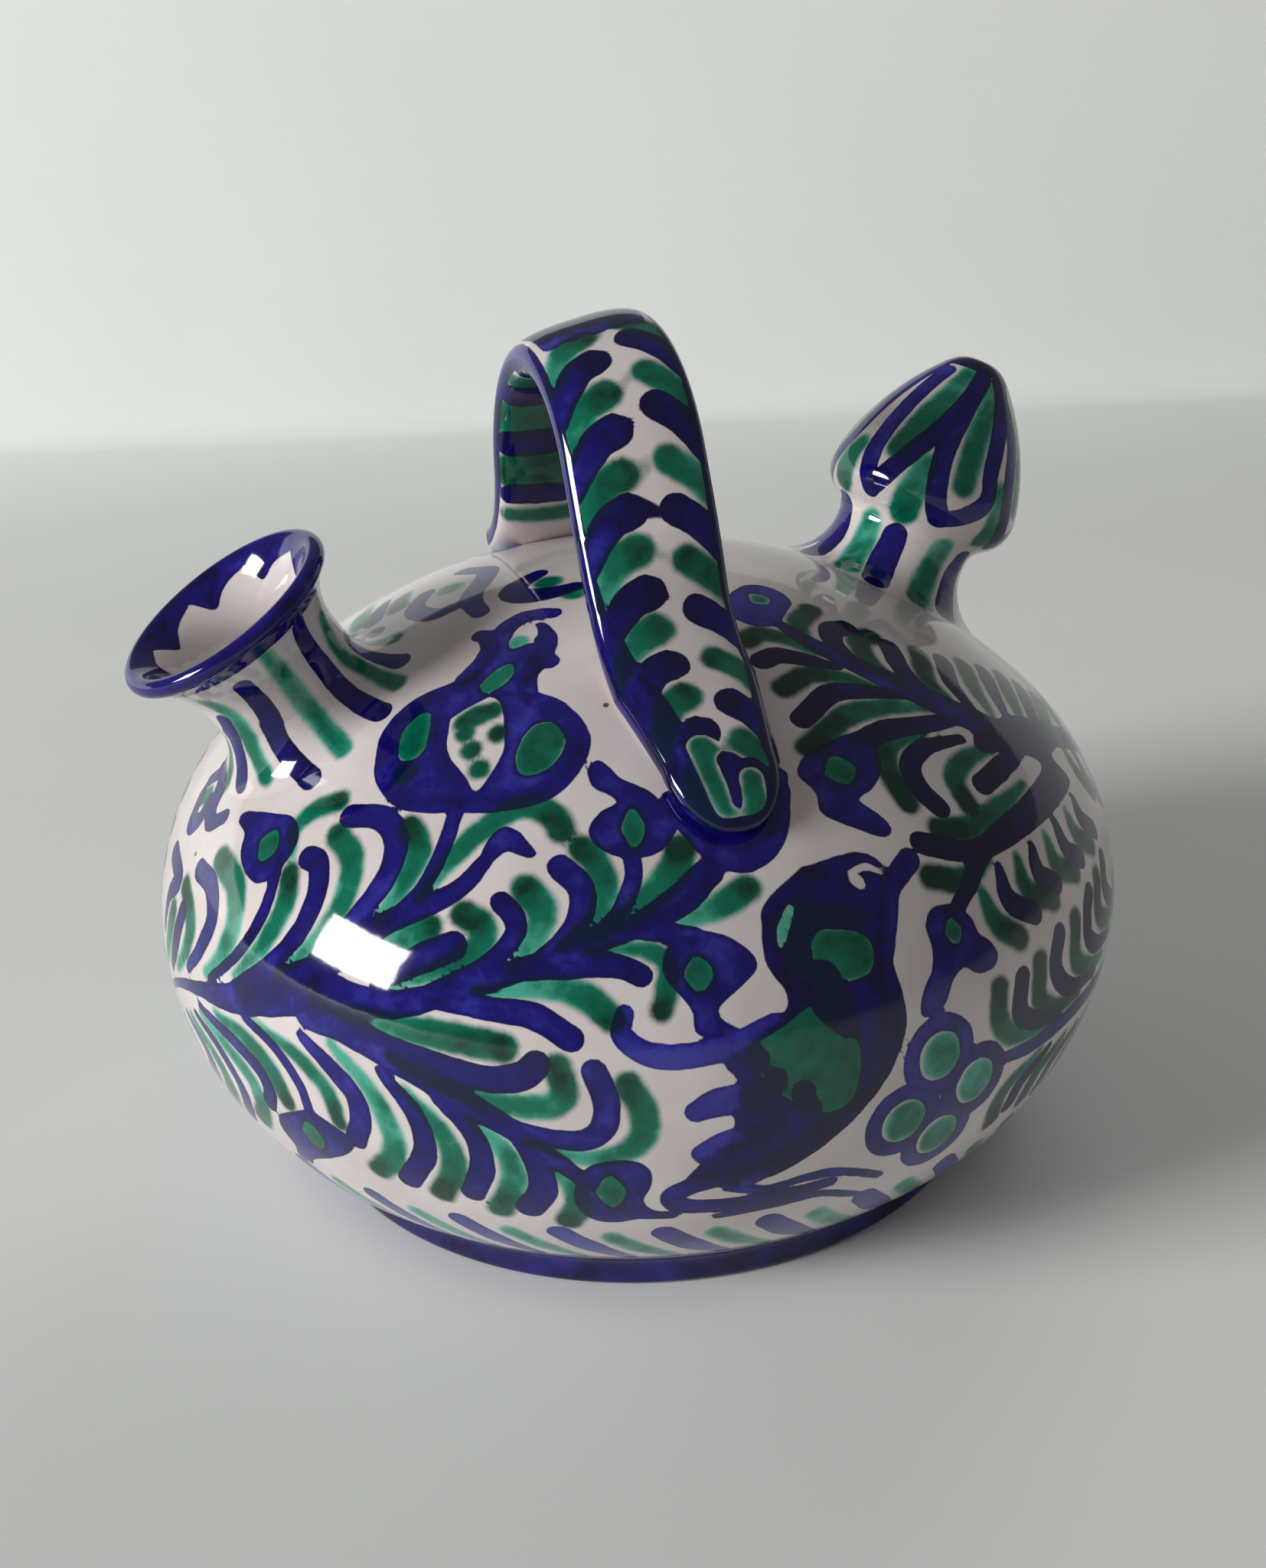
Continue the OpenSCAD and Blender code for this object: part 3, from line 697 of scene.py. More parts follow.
# The small frond under it
line(BLUE, (2, 3, 4, 4, 3.5, 2.5), (-28, -15.5), (-36, -11), (-45, -8), (-60, -6.5), (-70, -6), (-76, -4.5))
frond(GREEN,
      ((-37, -9), (-41, -4.5), (-43.5, 0), (-43, 7)),
      ((-33, -10.5), (-37, -6.5), (-39.3, -2), (-38.7, 4.5)),
      ((-30, -12.5), (-33, -9), (-35, -4.5), (-34.3, 1.5)), more=0.45)
frond(GREEN,
      ((-46, -12), (-50, -17.5), (-52, -25)),
      ((-42, -12.5), (-46, -18.5), (-48, -25.5)),
      ((-38, -13.5), (-42, -19), (-44, -26)),
      ((-34, -15), (-38, -20), (-40, -26)),
      ((-30, -17), (-34, -21.5), (-36, -26.5)),
      ((-27, -19), (-30, -23), (-31.5, -27)),
      ((-68, -4), (-74, -1), (-76.3, 4), (-76, 9.5)),
      ((-65, -3.5), (-70, -1), (-73, 3), (-72.3, 9)),
      ((-60, -3.5), (-66, -1.5), (-69.5, 3), (-69, 9.8)),
      ((-55, -3), (-62, -0.5), (-65.5, 4), (-66, 8), (-64.5, 12)),
      ((-52, -2), (-58, 0.5), (-61.5, 5), (-60.5, 12)),
      ((-48, 0), (-54, 2), (-57.5, 6), (-57, 11), (-55.5, 13.5)),
      ((-45, 2), (-50, 4), (-53.5, 8), (-52, 14)),
      ((-43, 3), (-47, 6), (-49.5, 10), (-48, 15)),
      ((-68, -9), (-73, -12), (-74.5, -16), (-74, -21)),
      ((-66, -10), (-70.5, -14), (-71.5, -19)),
      ((-62, -11), (-67, -15), (-68, -21)),
      ((-58, -12), (-63, -16), (-64.5, -22)),
      ((-54, -12), (-58.5, -17), (-60, -24)),
      ((-50, -13), (-54, -18), (-56, -25)), more=0.45)

# Brush painting of the flowers, the pomegranate and the bird: flat shapes in blue, laid with a full brush. Places
# left bare in them take touches of green, and thin blue lines are drawn over them last.
def window(load, *outline, over=1.1):
    """A place left bare in the blue, with green laid in it that runs a little over its edge."""
    middle = np.mean(outline, axis=0)
    fill(BARE, 0.0, *outline)
    fill(GREEN, load, *[tuple(middle + over * (np.array(spot) - middle)) for spot in outline])


def flower(outline, centre, wide, high):
    """A blue flower with a lozenge of green at its heart."""
    turn, s = centre
    fill(BLUE, 0.45, *outline)
    window(0.7, (turn - wide, s), (turn, s + high), (turn + wide, s), (turn, s - high), over=1.3)


# Flower above the trunk, and one at the far left
line(BLUE, (2, 3, 3), (-167, 9), (-162, 17), (-159.5, 25), (-159.5, 31), (-160.5, 36))
flower(((-160, 32), (-158.8, 37), (-159.3, 41), (-162, 43.5), (-166, 42.5), (-171.5, 40), (-172, 37.5),
       (-169, 36.5), (-168, 33.5), (-165.5, 31), (-162.5, 30)), (-163.5, 37), 1.9, 3.2)
line(BLUE, (3.5, 4.4, 4, 3.4), (-187, 38), (-184.5, 41.5), (-181.5, 38.5), (-180, 35), (-178, 33.5),
     (-175.7, 36.3))
line(BLUE, (3.4, 4.4, 3.4), (-186.5, 35), (-184, 29.5), (-182, 32), (-182.5, 36))
dot(GREEN, 2.4, (-184.5, 35.5))
# Flowers on the middle stem
line(BLUE, (2, 3, 3), (-121, 30), (-117, 35), (-115, 41), (-115, 46))
flower(((-115.2, 44.5), (-118.5, 46.5), (-120.3, 50), (-119, 53.5), (-116.8, 55.8), (-120, 58.5), (-121, 62),
       (-119.5, 64), (-117.8, 62.5), (-116, 60), (-112.5, 57.5), (-109.8, 53), (-109.5, 49.5), (-111.5, 46)),
       (-114.8, 50.5), 1.5, 3.8)
line(BLUE, (2, 3.4, 3.4), (-120, 32), (-116, 33), (-112, 32), (-109, 31))
flower(((-112, 29.5), (-109, 32), (-105.5, 30.5), (-103.2, 27), (-103.2, 24.5), (-105.5, 21.5), (-107.2, 19),
       (-106.8, 17), (-105.8, 16), (-107.5, 14.3), (-109.6, 15.5), (-109.8, 19), (-111, 22), (-112.4, 25.5)),
       (-109, 25), 1.5, 3.0)
# Flowers on the lower stem
line(BLUE, (2, 2.6, 2.6), (-160, 6.5), (-155, 3.5), (-151.8, -2), (-151, -8))
flower(((-151, -7), (-147.5, -9), (-145.8, -12), (-147.5, -15.5), (-151, -19.5), (-154.5, -23), (-156, -26),
       (-158, -25), (-157, -21), (-157.8, -17), (-157, -13), (-154.5, -10)), (-152, -14), 1.6, 3.5)
flower(((-121.5, -10), (-119.5, -7.5), (-116.5, -7), (-114.6, -9), (-114.5, -13), (-115.3, -17),
       (-114.3, -19.8), (-111.8, -20.8), (-112.5, -22.8), (-116, -22.5), (-119, -23.5), (-121.5, -21),
       (-122.2, -16)), (-118.5, -14.5), 1.5, 4.2)
# Flower beside the tongue of the handle
flower(((-76, 61.5), (-80, 62), (-84, 61.5), (-88.5, 60.5), (-91.5, 56.8), (-90.3, 52.5), (-90.8, 48.5),
       (-87.5, 44.5), (-84.5, 41.5), (-82.8, 42.5), (-83.5, 46), (-85, 49.2), (-82, 50.5), (-79, 53.5),
       (-77.5, 57)), (-85.3, 55.5), 2.6, 3.0)
# Flower at the end of the right frond's lower stem
flower(((-83.9, 25), (-82.6, 27.3), (-79.6, 27), (-77.8, 24), (-77.3, 20.5), (-76, 18.3), (-75.4, 15.5),
       (-76.5, 13.6), (-78.8, 14), (-80.3, 16), (-82, 14.5), (-83.6, 11), (-85.3, 9.7), (-86.5, 11),
       (-86, 14.5), (-84.4, 17.5), (-83.8, 21)), (-80.6, 22.5), 1.1, 2.4)
# Four-lobed flower under the bird
lobes = ((-84.5, 2), (-88.5, -9), (-79.5, -6.5), (-83.5, -16))
for lobe in lobes:
    dot(BLUE, 7.7, lobe, load=0.3)
for turn, s in lobes:
    dot(BARE, 4.4, (turn, s))
    dot(GREEN, 4.5, (turn + 0.3, s - 0.2), load=0.35)
# Flowers behind the handle and at its right
line(BLUE, (4, 6, 6, 4), (-172, 114), (-168, 107), (-160, 105.5), (-150, 108), (-140, 112),
     load=0.8, sides=(0,))
dot(GREEN, 3.0, (-157, 112), sides=(0,))
dot(GREEN, 3.0, (-138, 109.5), sides=(0,))
line(BLUE, (4, 5, 5, 4), (-213, 100), (-203, 106), (-190, 104.5), (-178, 100), (-165, 97.5),
     load=0.2, sides=(0,))
line(BLUE, (4, 5, 4), (-200, 93), (-190, 90), (-180, 92), (-178, 96), load=0.2, sides=(0,))
dot(GREEN, 3.0, (-195, 98), sides=(0,))
leaf(GREEN, (-210, 88), (-204, 87), (-198, 86.5), sides=(0,))
leaf(BLUE, (-210, 83), (-203, 82), (-197, 81), sides=(0,))
leaf(GREEN, (-215, 78), (-207, 77.5), (-200, 78), sides=(0,))
fill(BLUE, 0.15, (-83, 96), (-79, 91.8), (-73, 90.5), (-66, 92.5), (-59, 94.5), (-56, 98.5), (-58, 102.5),
     (-66, 104), (-76, 102))
window(0.4, (-71, 98.5), (-67, 101), (-63, 98.5), (-67, 96.5))

# The pomegranate: split open on its seeds between two lobes, with a tall leafy crown
line(BLUE, (2, 3, 3), (-142.5, 30.5), (-139, 38), (-138, 45), (-138, 53))
fill(BLUE, 0.3, (-138, 52.2), (-146, 51.2), (-152.5, 55), (-156, 62), (-157, 68), (-155, 73.5), (-150.5, 78.5),
     (-147, 82), (-140, 79), (-133, 79), (-126, 76.5), (-121.5, 70), (-122, 62.5), (-126, 56.3), (-133.5, 52.8))
fill(BARE, 0.0, (-141, 77), (-144.5, 73), (-146.7, 68), (-143.5, 63.5), (-139, 59.5), (-136.3, 56.5),
     (-134.9, 61), (-134.5, 66), (-136.5, 72), (-138.5, 75.5))
window(0.7, (-153.3, 70), (-150.6, 70.6), (-148.4, 67.5), (-147.4, 63.5), (-148.3, 60.8), (-150.6, 60.2),
       (-152.6, 62.5), (-153.7, 66.3))
window(0.75, (-132, 68), (-130.5, 71.3), (-127.3, 72), (-125.2, 69.5), (-125, 66), (-126.8, 62), (-130, 60.5),
       (-132, 63.5))
line(BLUE, (4, 4.6, 4.6, 4), (-138, 54), (-146, 53), (-151, 57), (-154.6, 63), (-155.3, 68), (-153.5, 73),
     (-149, 78), (-148, 82))
line(BLUE, (4, 4.4, 4.4, 3.4), (-132.5, 77), (-127, 74.5), (-123, 69), (-123.5, 63), (-127, 57.5), (-134, 54.5),
     (-139, 54))
line(BLUE, (3.4, 4, 3.4), (-150.5, 74), (-147.6, 69), (-144.6, 62.5), (-139, 57))
dot(GREEN, 2.6, (-148.3, 57.6))
line(GREEN, (4.8, 5.6, 4.6), (-143.3, 70.3), (-141.3, 72.4), (-139.3, 73.8), load=1.0)
for seed in ((-142, 67.8), (-136.3, 68.7), (-139.6, 64.4), (-137, 60.8)):
    dot(GREEN, 2.2, seed, load=1.0)
fill(BLUE, 0.3, (-149.5, 80), (-149.5, 88), (-146, 93), (-141, 91.5), (-137, 92), (-134, 87), (-134, 80),
     (-140, 76.5))
line(BLUE, (4, 4.8, 4.4, 3.6), (-149, 80), (-148, 85), (-149, 90), (-150, 95), (-148, 99), (-143, 101),
     (-139.5, 101.5), load=0.3)
line(BLUE, (4, 4, 3.6), (-149, 89), (-153, 91.5), (-155.5, 91.5), load=0.3)
line(BLUE, (4, 4.6, 4.4, 3.6), (-134, 78), (-136, 83), (-135, 88), (-136, 93), (-140, 96), (-142.5, 96))
line(BLUE, (4, 4), (-136, 86.5), (-132.5, 87))
window(0.6, (-144.8, 79), (-143.5, 83.5), (-141, 85.5), (-139.3, 83.5), (-140, 79.8), (-142.5, 77.5), over=1.25)
fill(BARE, 0.0, (-145.8, 91), (-146, 95), (-143, 97.5), (-139.5, 94.5), (-140.5, 91.5), (-143.5, 89.5))
fill(GREEN, 0.2, (-146, 90), (-145.5, 93), (-142, 93.5), (-139.8, 91.5), (-142.8, 88.5))

# The bird: a blue body from the crest to the tail, with the breast and the wing left open for the green
fill(BLUE, 0.7, (-96, 40), (-89, 40.5), (-86.5, 38), (-86, 34), (-87.2, 29), (-88.5, 24), (-88.6, 20),
     (-88.2, 15), (-88.3, 10), (-89.5, 5), (-91.5, 0), (-95, -6), (-99.5, -11.5), (-104, -14.5), (-111, -13.5),
     (-109, -7), (-106.5, -2), (-107, 4), (-106, 7), (-107, 10), (-104, 14), (-101, 17), (-100.5, 20),
     (-102, 25), (-102, 30), (-101, 35))
line(BLUE, (4.4, 4, 4, 3.4), (-82.6, 36.5), (-86.3, 33), (-88, 28), (-89.5, 22), load=0.4)
line(BLUE, (4, 5, 5, 4), (-94, 38), (-99, 34), (-100.2, 27), (-98.8, 20), (-97.5, 17), load=0.3)
line(BLUE, (4, 6, 6, 5), (-90.5, 20), (-90.3, 13), (-91.2, 6), (-94.5, -1), (-99.5, -8), (-105, -13), load=0.3)
line(BLUE, (3, 4.4, 4.6), (-116.3, 19.5), (-116.5, 15.5), (-113, 12), (-107, 12.5), (-102, 15), load=0.15)
line(BLUE, (6, 5.4, 4), (-104.5, 3.5), (-108, 3.2), (-110, 2), load=0.0)
line(BLUE, (6, 5, 4), (-104.5, -4), (-107.5, -5), (-109.5, -6.5), load=0.0)
line(BLUE, (4, 4.4, 3), (-105, -12), (-110, -13.5), (-112.5, -16.5), (-110.5, -19.5), (-103, -20), (-96, -19))
window(0.75, (-97, 27.5), (-95.3, 29), (-91.5, 27), (-90.6, 24), (-91.5, 20.5), (-94.3, 20), (-97, 21.5))
window(0.75, (-97.6, 18), (-95.2, 15), (-93.9, 10), (-93.7, 5), (-94.6, -0.5), (-96.8, -2.2), (-99.5, -0.5),
       (-102, 3.5), (-104.2, 8.5), (-104, 12.2), (-100.8, 15))
line(GREEN, (3, 4, 3), (-97.5, 30.5), (-94.5, 31.5), (-91, 29.5), load=0.4)
line(GREEN, (5, 7, 5), (-96.5, 21.5), (-96, 17.3), (-94.6, 13), load=0.4)
line(BLUE, (6, 7, 5), (-96.5, 21.3), (-96, 17.3), (-94.6, 13), load=0.7)
for spot in ((-104, 9.8), (-102.3, 5.6), (-99.6, 2.6), (-99, -0.8)):
    dot(BLUE, 2.2, spot, load=0.8)
line(GREEN, (4, 6, 4), (-99, 23.5), (-98.4, 28.5), (-97, 33.5), load=0.6)
line(BARE, (1.2, 2, 1.2), (-100.2, 28), (-99.6, 30.5), (-98.4, 33.5))
line(GREEN, (2, 3, 2), (-100.2, 28), (-99.6, 30.5), (-98.4, 33.5), load=0.2)
fill(BARE, 0.0, (-91, 36.3), (-89.9, 37), (-89.2, 35.5), (-89.4, 33.8), (-90.2, 34.3))
line(BARE, (1.0, 1.3, 1.0), (-90.6, 37), (-88.5, 37.6), (-86.8, 36))
line(BLUE, (1.8, 2.2, 2), (-107, -15.5), (-103, -17), (-97, -16), (-93, -18.5), (-90, -21.5))
line(BLUE, (1.8, 2.2, 1.8), (-110, -19), (-103, -20), (-97, -18.5))
line(BLUE, (1.8, 2.2, 2), (-108, -23.3), (-102, -22.5), (-97, -22), (-92.5, -25.5))

# The border: slanting dabs, blue and green by turns, over a dense blue band that runs on over the foot
DABS = 32
FIRST_DAB = -147
for k in range(DABS):
    at = FIRST_DAB + 360 / DABS * k
    line(BLUE, (5, 5.4, 3), (at, -28), (at + 3, -34.5), (at + 7, -42), load=0.15, sides=(0,))
    line(GREEN, (4.6, 5, 3), (at + 5.6, -29.5), (at + 8.6, -35.5), (at + 12.5, -42), load=0.3, sides=(0,))
line(BLUE, (11, 11), *[(turn, -56.2) for turn in range(-180, 181, 6)], load=0.5, sides=(0,))


# Brush painting on the mouth and the spout: stripes down the neck and saw-teeth inside the lip, petals round the
# bud. A place is (degrees round the tube's axis, mm of run down its profile from the lip or the tip).
def on_tube(profile, where):
    """Spots on a turned tube in its frame; where its profile runs into the dome they lie on the dome instead."""
    profile = np.array(profile)
    run = np.r_[0, np.cumsum(np.hypot(*np.diff(profile, axis=0).T))]
    middle = np.array([0, 0, DOME_Z])
    matrix = np.array(where)

    def place(points):
        turn = np.radians(points[:, 0])
        r, h = (np.interp(points[:, 1], run, profile[:, i]) for i in (0, 1))
        own = np.stack([r * np.cos(turn), r * np.sin(turn), h], -1)
        spots = own @ matrix[:3, :3].T + matrix[:3, 3] / MM
        off = spots - middle
        far = np.linalg.norm(off, axis=1, keepdims=True)
        return np.where((far < DOME_R) & (h[:, None] < 3), middle + off / far * DOME_R, spots)

    return place


lip_top = arc(LIP_X, LIP_Z, LIP_R, 35, FLARE - 180, 8)
on_neck = on_tube(
    lip_top + arc(FUNNEL_X, FUNNEL_Z, FUNNEL_R, FLARE, 180, 20)[1:] + [(NECK_R, 7)]
    + arc(NECK_R + MOUTH_CURVE_R, 7.5, MOUTH_CURVE_R, 180, 259, 10) + [(30, -3.7), (40, -6.7)],
    stand(-MOUTH_OUT, MOUTH_TILT))
in_throat = on_tube(
    arc(LIP_X, LIP_Z, LIP_R, 35, FLARE, 8) + arc(FUNNEL_X, FUNNEL_Z, FUNNEL_R + MOUTH_WALL, FLARE, 180, 20)[1:]
    + [(THROAT_R, -4)],
    stand(-MOUTH_OUT, MOUTH_TILT))

brush(BLUE, on_neck, [(turn, 2.5) for turn in range(-180, 181, 10)], (8.4, 8.4), (0.5, 0.5))
neck_stripes = [
    [(-150, 17), (-160, 24), (-163, 31)],
    [(-146, 11), (-138, 17), (-143, 25), (-139, 30)],
    [(-113, 11), (-114, 18), (-120, 26), (-110, 35)],
    [(-88, 8), (-89, 20), (-90, 33.5)],
    [(-62, 8), (-62, 20), (-65, 34.5)],
    [(-35, 13), (-42, 20), (-38, 26), (-46, 34)],
    [(-20, 22), (-22, 28), (-28, 33)],
] + [[(turn, 9), (turn + 2, 20), (turn - 2, 33)] for turn in range(2, 180, 22)]
for k, stripe in enumerate(neck_stripes):
    pigment = (BLUE, GREEN)[k % 2]
    brush(pigment, on_neck, stripe, (3.6, 4.4, 4.8), (0.4, 0.5, 0.6))
for tip in range(2, 362, 45):
    brush(BLUE, in_throat, [(tip - 28, 3.5), (tip - 12, 5.5), (tip, 9)], (5, 4, 1.6), (0.5, 0.5))
    brush(BLUE, in_throat, [(tip - 10, 3.5), (tip - 4, 5.5), (tip + 1, 9)], (5, 4, 1.6), (0.5, 0.5))
    brush(BLUE, in_throat, [(tip + 6, 3.5), (tip + 4, 6), (tip + 1, 9)], (5, 3.4, 1.6), (0.5, 0.5))

on_spout = on_tube(
    [(2, TIP_Z), (4.5, TIP_Z)] + arc(*FLANK, 47.4, FLANK_FROM, 30)[1:]
    + arc(9, BUD_Z, 12, FLANK_FROM, 0, 6)[1:] + arc(BUD_X, BUD_Z, BUD_EDGE, 0, -60, 8)[1:]
    + arc(NECK_R + WAIST_R, WAIST_Z, WAIST_R, 120, 180, 6)[1:]
    + arc(NECK_R + SPOUT_CURVE_R, 9.96, SPOUT_CURVE_R, 180, 258, 14) + [(30, -3.7), (36, -5.4)],
    stand(SPOUT_OUT, SPOUT_TILT))

PETAL = 360 / 7
FIRST_FOOT = -160.4
first_petal = [
    [(-165, 10), (-166, 30), (-163, 38), (-158, 42)],
    [(-115, 8), (-122, 15), (-132, 24), (-141, 31), (-150, 38), (-158, 42)],
]
second_petal = [
    [(-115, 8), (-122, 18), (-124, 30), (-118, 39), (-110, 43)],
    [(-110, 43), (-98, 40), (-88, 35), (-90, 28), (-86, 15), (-83, 8)],
]
petals = first_petal + second_petal
for k in range(2, 7):
    foot_at = FIRST_FOOT + PETAL * k
    petals += [
        [(foot_at - 30, 8), (foot_at - 14, 18), (foot_at - 13, 30), (foot_at - 8, 38), (foot_at, 42.5)],
        [(foot_at, 42.5), (foot_at + 10, 39.5), (foot_at + 19, 34), (foot_at + 22, 26), (foot_at + 24, 8)],
    ]
for arm in petals:
    brush(BLUE, on_spout, arm, (4, 4.4, 4.6), (0.4, 0.5))
inner_greens = [[(-135, 8), (-145, 22), (-151, 32)], [(-98, 10), (-106, 22), (-106, 34)]]
between_greens = [
    [(-131, 33), (-132, 39), (-133, 45)],
    [(-178, 34), (-182, 39), (-184, 42)],
    [(-78, 32), (-74, 37), (-71, 42)],
]
for k in range(2, 7):
    foot_at = FIRST_FOOT + PETAL * k
    inner_greens.append([(foot_at + 10, 9), (foot_at + 4, 22), (foot_at + 3, 33)])
for k in range(3, 7):
    between = FIRST_FOOT + PETAL * (k - 0.5)
    between_greens.append([(between, 33), (between, 40), (between, 46)])
for mark in inner_greens:
    brush(GREEN, on_spout, mark, (4.4, 6, 5.8), (0.3, 0.45, 0.7))
for mark in between_greens:
    brush(GREEN, on_spout, mark, (5, 7, 7), (0.3, 0.5, 0.8))
brush(BLUE, on_spout, [(turn, 2.0) for turn in range(-180, 181, 15)], (10, 10), (1.1, 1.1))
stem_bars = [
    (GREEN, [(-156, 50), (-153, 56), (-149, 62.4)]),
    (BLUE, [(-132, 51), (-131.5, 57), (-130, 62.8)]),
    (GREEN, [(-91, 49.5), (-96, 56), (-102, 62.8)]),
    (BLUE, [(-62, 50), (-71, 57), (-80, 63)]),
    (BLUE, [(-192, 48), (-182, 56), (-177, 62.4)]),
]
for k, turn in enumerate(range(-30, 160, 27)):
    stem_bars.append(((GREEN, BLUE)[k % 2], [(turn, 50), (turn, 56), (turn - 2, 62.4)]))
for pigment, bar in stem_bars:
    brush(pigment, on_spout, bar, (5.4, 6.2, 6.2), (0.45, 0.5, 0.7))


# Brush painting on the handle: two rows of commas that lean in from the edges, a blue line along each edge and
# round the tongue, and cross bands under the arch. A place is (mm across, mm along from the front tip).
def on_strap(points, face=1):
    half = STRAP_W / 2
    side = (points[:, 0] / half).clip(-1, 1)
    return strap_point(points[:, 1], side, face * np.sqrt(1 - np.abs(side) ** 2.5))


def under_strap(points):
    return on_strap(points, -1)


def round_tongue(points):
    """Spots on the dome round the front tongue, in the same measures."""
    bow = math.radians(front_touch) + (FRONT_TONGUE - points[:, 1]) / TONGUE_ARC
    x, y = turn_strap(points[:, 0], DOME_R * np.cos(bow))
    return np.stack([x, y, DOME_Z + np.sqrt(DOME_R ** 2 - x ** 2 - y ** 2)], -1)


left_heads = (6, 12, 18, 25.5, 33, 42, 50, 58, 65, 71.5, 79, 85.5, 92.5, 99)
right_heads = (9, 15, 23, 33, 45, 55, 64, 73, 82, 88, 96, 101)
for k, head in enumerate(left_heads):
    comma = [(-11.5, head - 10), (-9.5, head - 5.5), (-6.5, head - 1.6), (-2.8, head)]
    brush((BLUE, GREEN)[k % 2], on_strap, comma, (3.4, 6.0, 6.8), (0.35, 0.55, 1.0))
for k, head in enumerate(right_heads):
    comma = [(12, head - 9), (9.5, head - 3.5), (5.5, head)]
    brush((BLUE, GREEN)[k % 2], on_strap, comma, (3.6, 5.8, 6.2), (0.4, 0.6, 1.0))
for k, head in enumerate(range(127, 186, 8)):
    left_comma = [(-11, head + 7), (-8, head + 2.5), (-2.5, head)]
    right_comma = [(11, head + 10), (9, head + 6), (5.5, head + 2.5)]
    brush((GREEN, BLUE)[k % 2], on_strap, left_comma, (2.4, 4.4, 4.6), (0.35, 0.45, 0.7))
    brush((BLUE, GREEN)[k % 2], on_strap, right_comma, (2.4, 4.2, 4.6), (0.35, 0.45, 0.7))
brush(BLUE, round_tongue, [(-9, 8), (-6, 2), (-3, -1.5), (0, -2.5), (3.5, -1.5), (7, 2), (10, 8)],
      (3, 5, 6, 5, 3), (0.5, 0.5))
brush(BLUE, round_tongue, [(-9, 11), (-6, 5), (-3, 1.8), (0, 0.8), (3.5, 1.8), (7, 5), (10, 11)],
      (4, 5, 5, 5, 4), (0.4, 0.4))
brush(BLUE, on_strap, [(-10.5, 2), (-10, 10), (-10, 22), (-11, 34), (-12, 46)], (8, 8, 7, 5), (0.3, 0.3))
for pigment, mark, wide in (
    (GREEN, [(-3, 4.5), (-4, 15)], 5.2),
    (BLUE, [(1.5, 5), (0.5, 12)], 3.8),
    (GREEN, [(5.5, 2.5), (5, 8)], 4.4),
):
    brush(BARE, on_strap, mark, (wide, wide), (0, 0))
    brush(pigment, on_strap, mark, (wide, wide), (0.4, 0.8))
# A blue line along each edge. The line on the right edge, the side turned away from the window, is laid darker than
# the left: painted shade over a real blue line.
for edge, load in ((-12.7, 0.5), (12.7, 0.8)):
    brush(BLUE, on_strap, [(edge, along) for along in range(14, 186, 4)], (7, 5, 5, 5), (load, load))
front_rim = ((-12, 18), (-12.4, 10), (-12.6, 4), (-12, 0.8), (0, 0.6), (12, 0.8), (12.6, 4), (12.4, 10),
             (12, 18))
rear_rim = ((-12, 182), (-12.6, 190), (-12, 193.4), (0, 193.6), (12, 193.4), (12.6, 190), (12, 182))
for rim_at in (front_rim, rear_rim):
    brush(BLUE, on_strap, rim_at, (5, 4, 5), (0.6, 0.6))
for across in (-8, -4, 0, 4, 8):
    brush(BLUE, on_strap, [(across, 101), (across + 0.5, 111), (across, 121)], (4, 6, 5), (0.2, 0.4))
    brush(GREEN, on_strap, [(across, 104), (across, 113), (across, 123)], (4, 5, 4), (0.4, 0.4))
for across in (-3.5, 5.5):
    brush(BARE, on_strap, [(across, 112), (across, 116), (across, 120)], (0.6, 1.6, 0.6), (0, 0))
    brush(GREEN, on_strap, [(across, 112), (across, 116), (across, 120)], (1.6, 2.6, 1.6), (0.3, 0.3))
under_bands = ((89, 6), (97, 6), (105, 6), (113, 6), (121.5, 7.4), (128.7, 7),
               (137, 9.4), (144.5, 6), (151.7, 8), (156.8, 4.4), (160.4, 4))
for k, (along, wide) in enumerate(under_bands):
    band = [(-11, along), (0, along + 0.6), (11, along)]
    brush((GREEN, BLUE)[k % 2], under_strap, band, (wide, wide, wide), (0.7, 0.7))

# Pigment on the raw glaze: the strokes are laid in order on each piece that they touch. A stroke that runs over
# another of its colour adds to the load there, and the firing melts both into the glaze.
CLEAR = 6.0
NEAR = 3.0
FACES_IT = 0.2
LAPPED = 0.8
LAP_LOAD = {BLUE: 0.3, GREEN: 0.1}


def stroke_edge(spots, centre_line, half, load):
    """Distance of each spot to the edge of a stroke, negative inside it, and the load of pigment there."""
    start, step = centre_line[:-1], np.diff(centre_line, axis=0)
    span = (step ** 2).sum(1) + 1e-9
    share = (((spots[:, None] - start) * step).sum(2) / span).clip(0, 1)
    gap = np.linalg.norm(spots[:, None] - start - share[..., None] * step, axis=2)
    gap -= half[:-1] + share * np.diff(half)
    nearest = gap.argmin(1)
    rows = np.arange(len(spots))
    return gap[rows, nearest], load[:-1][nearest] + share[rows, nearest] * np.diff(load)[nearest]


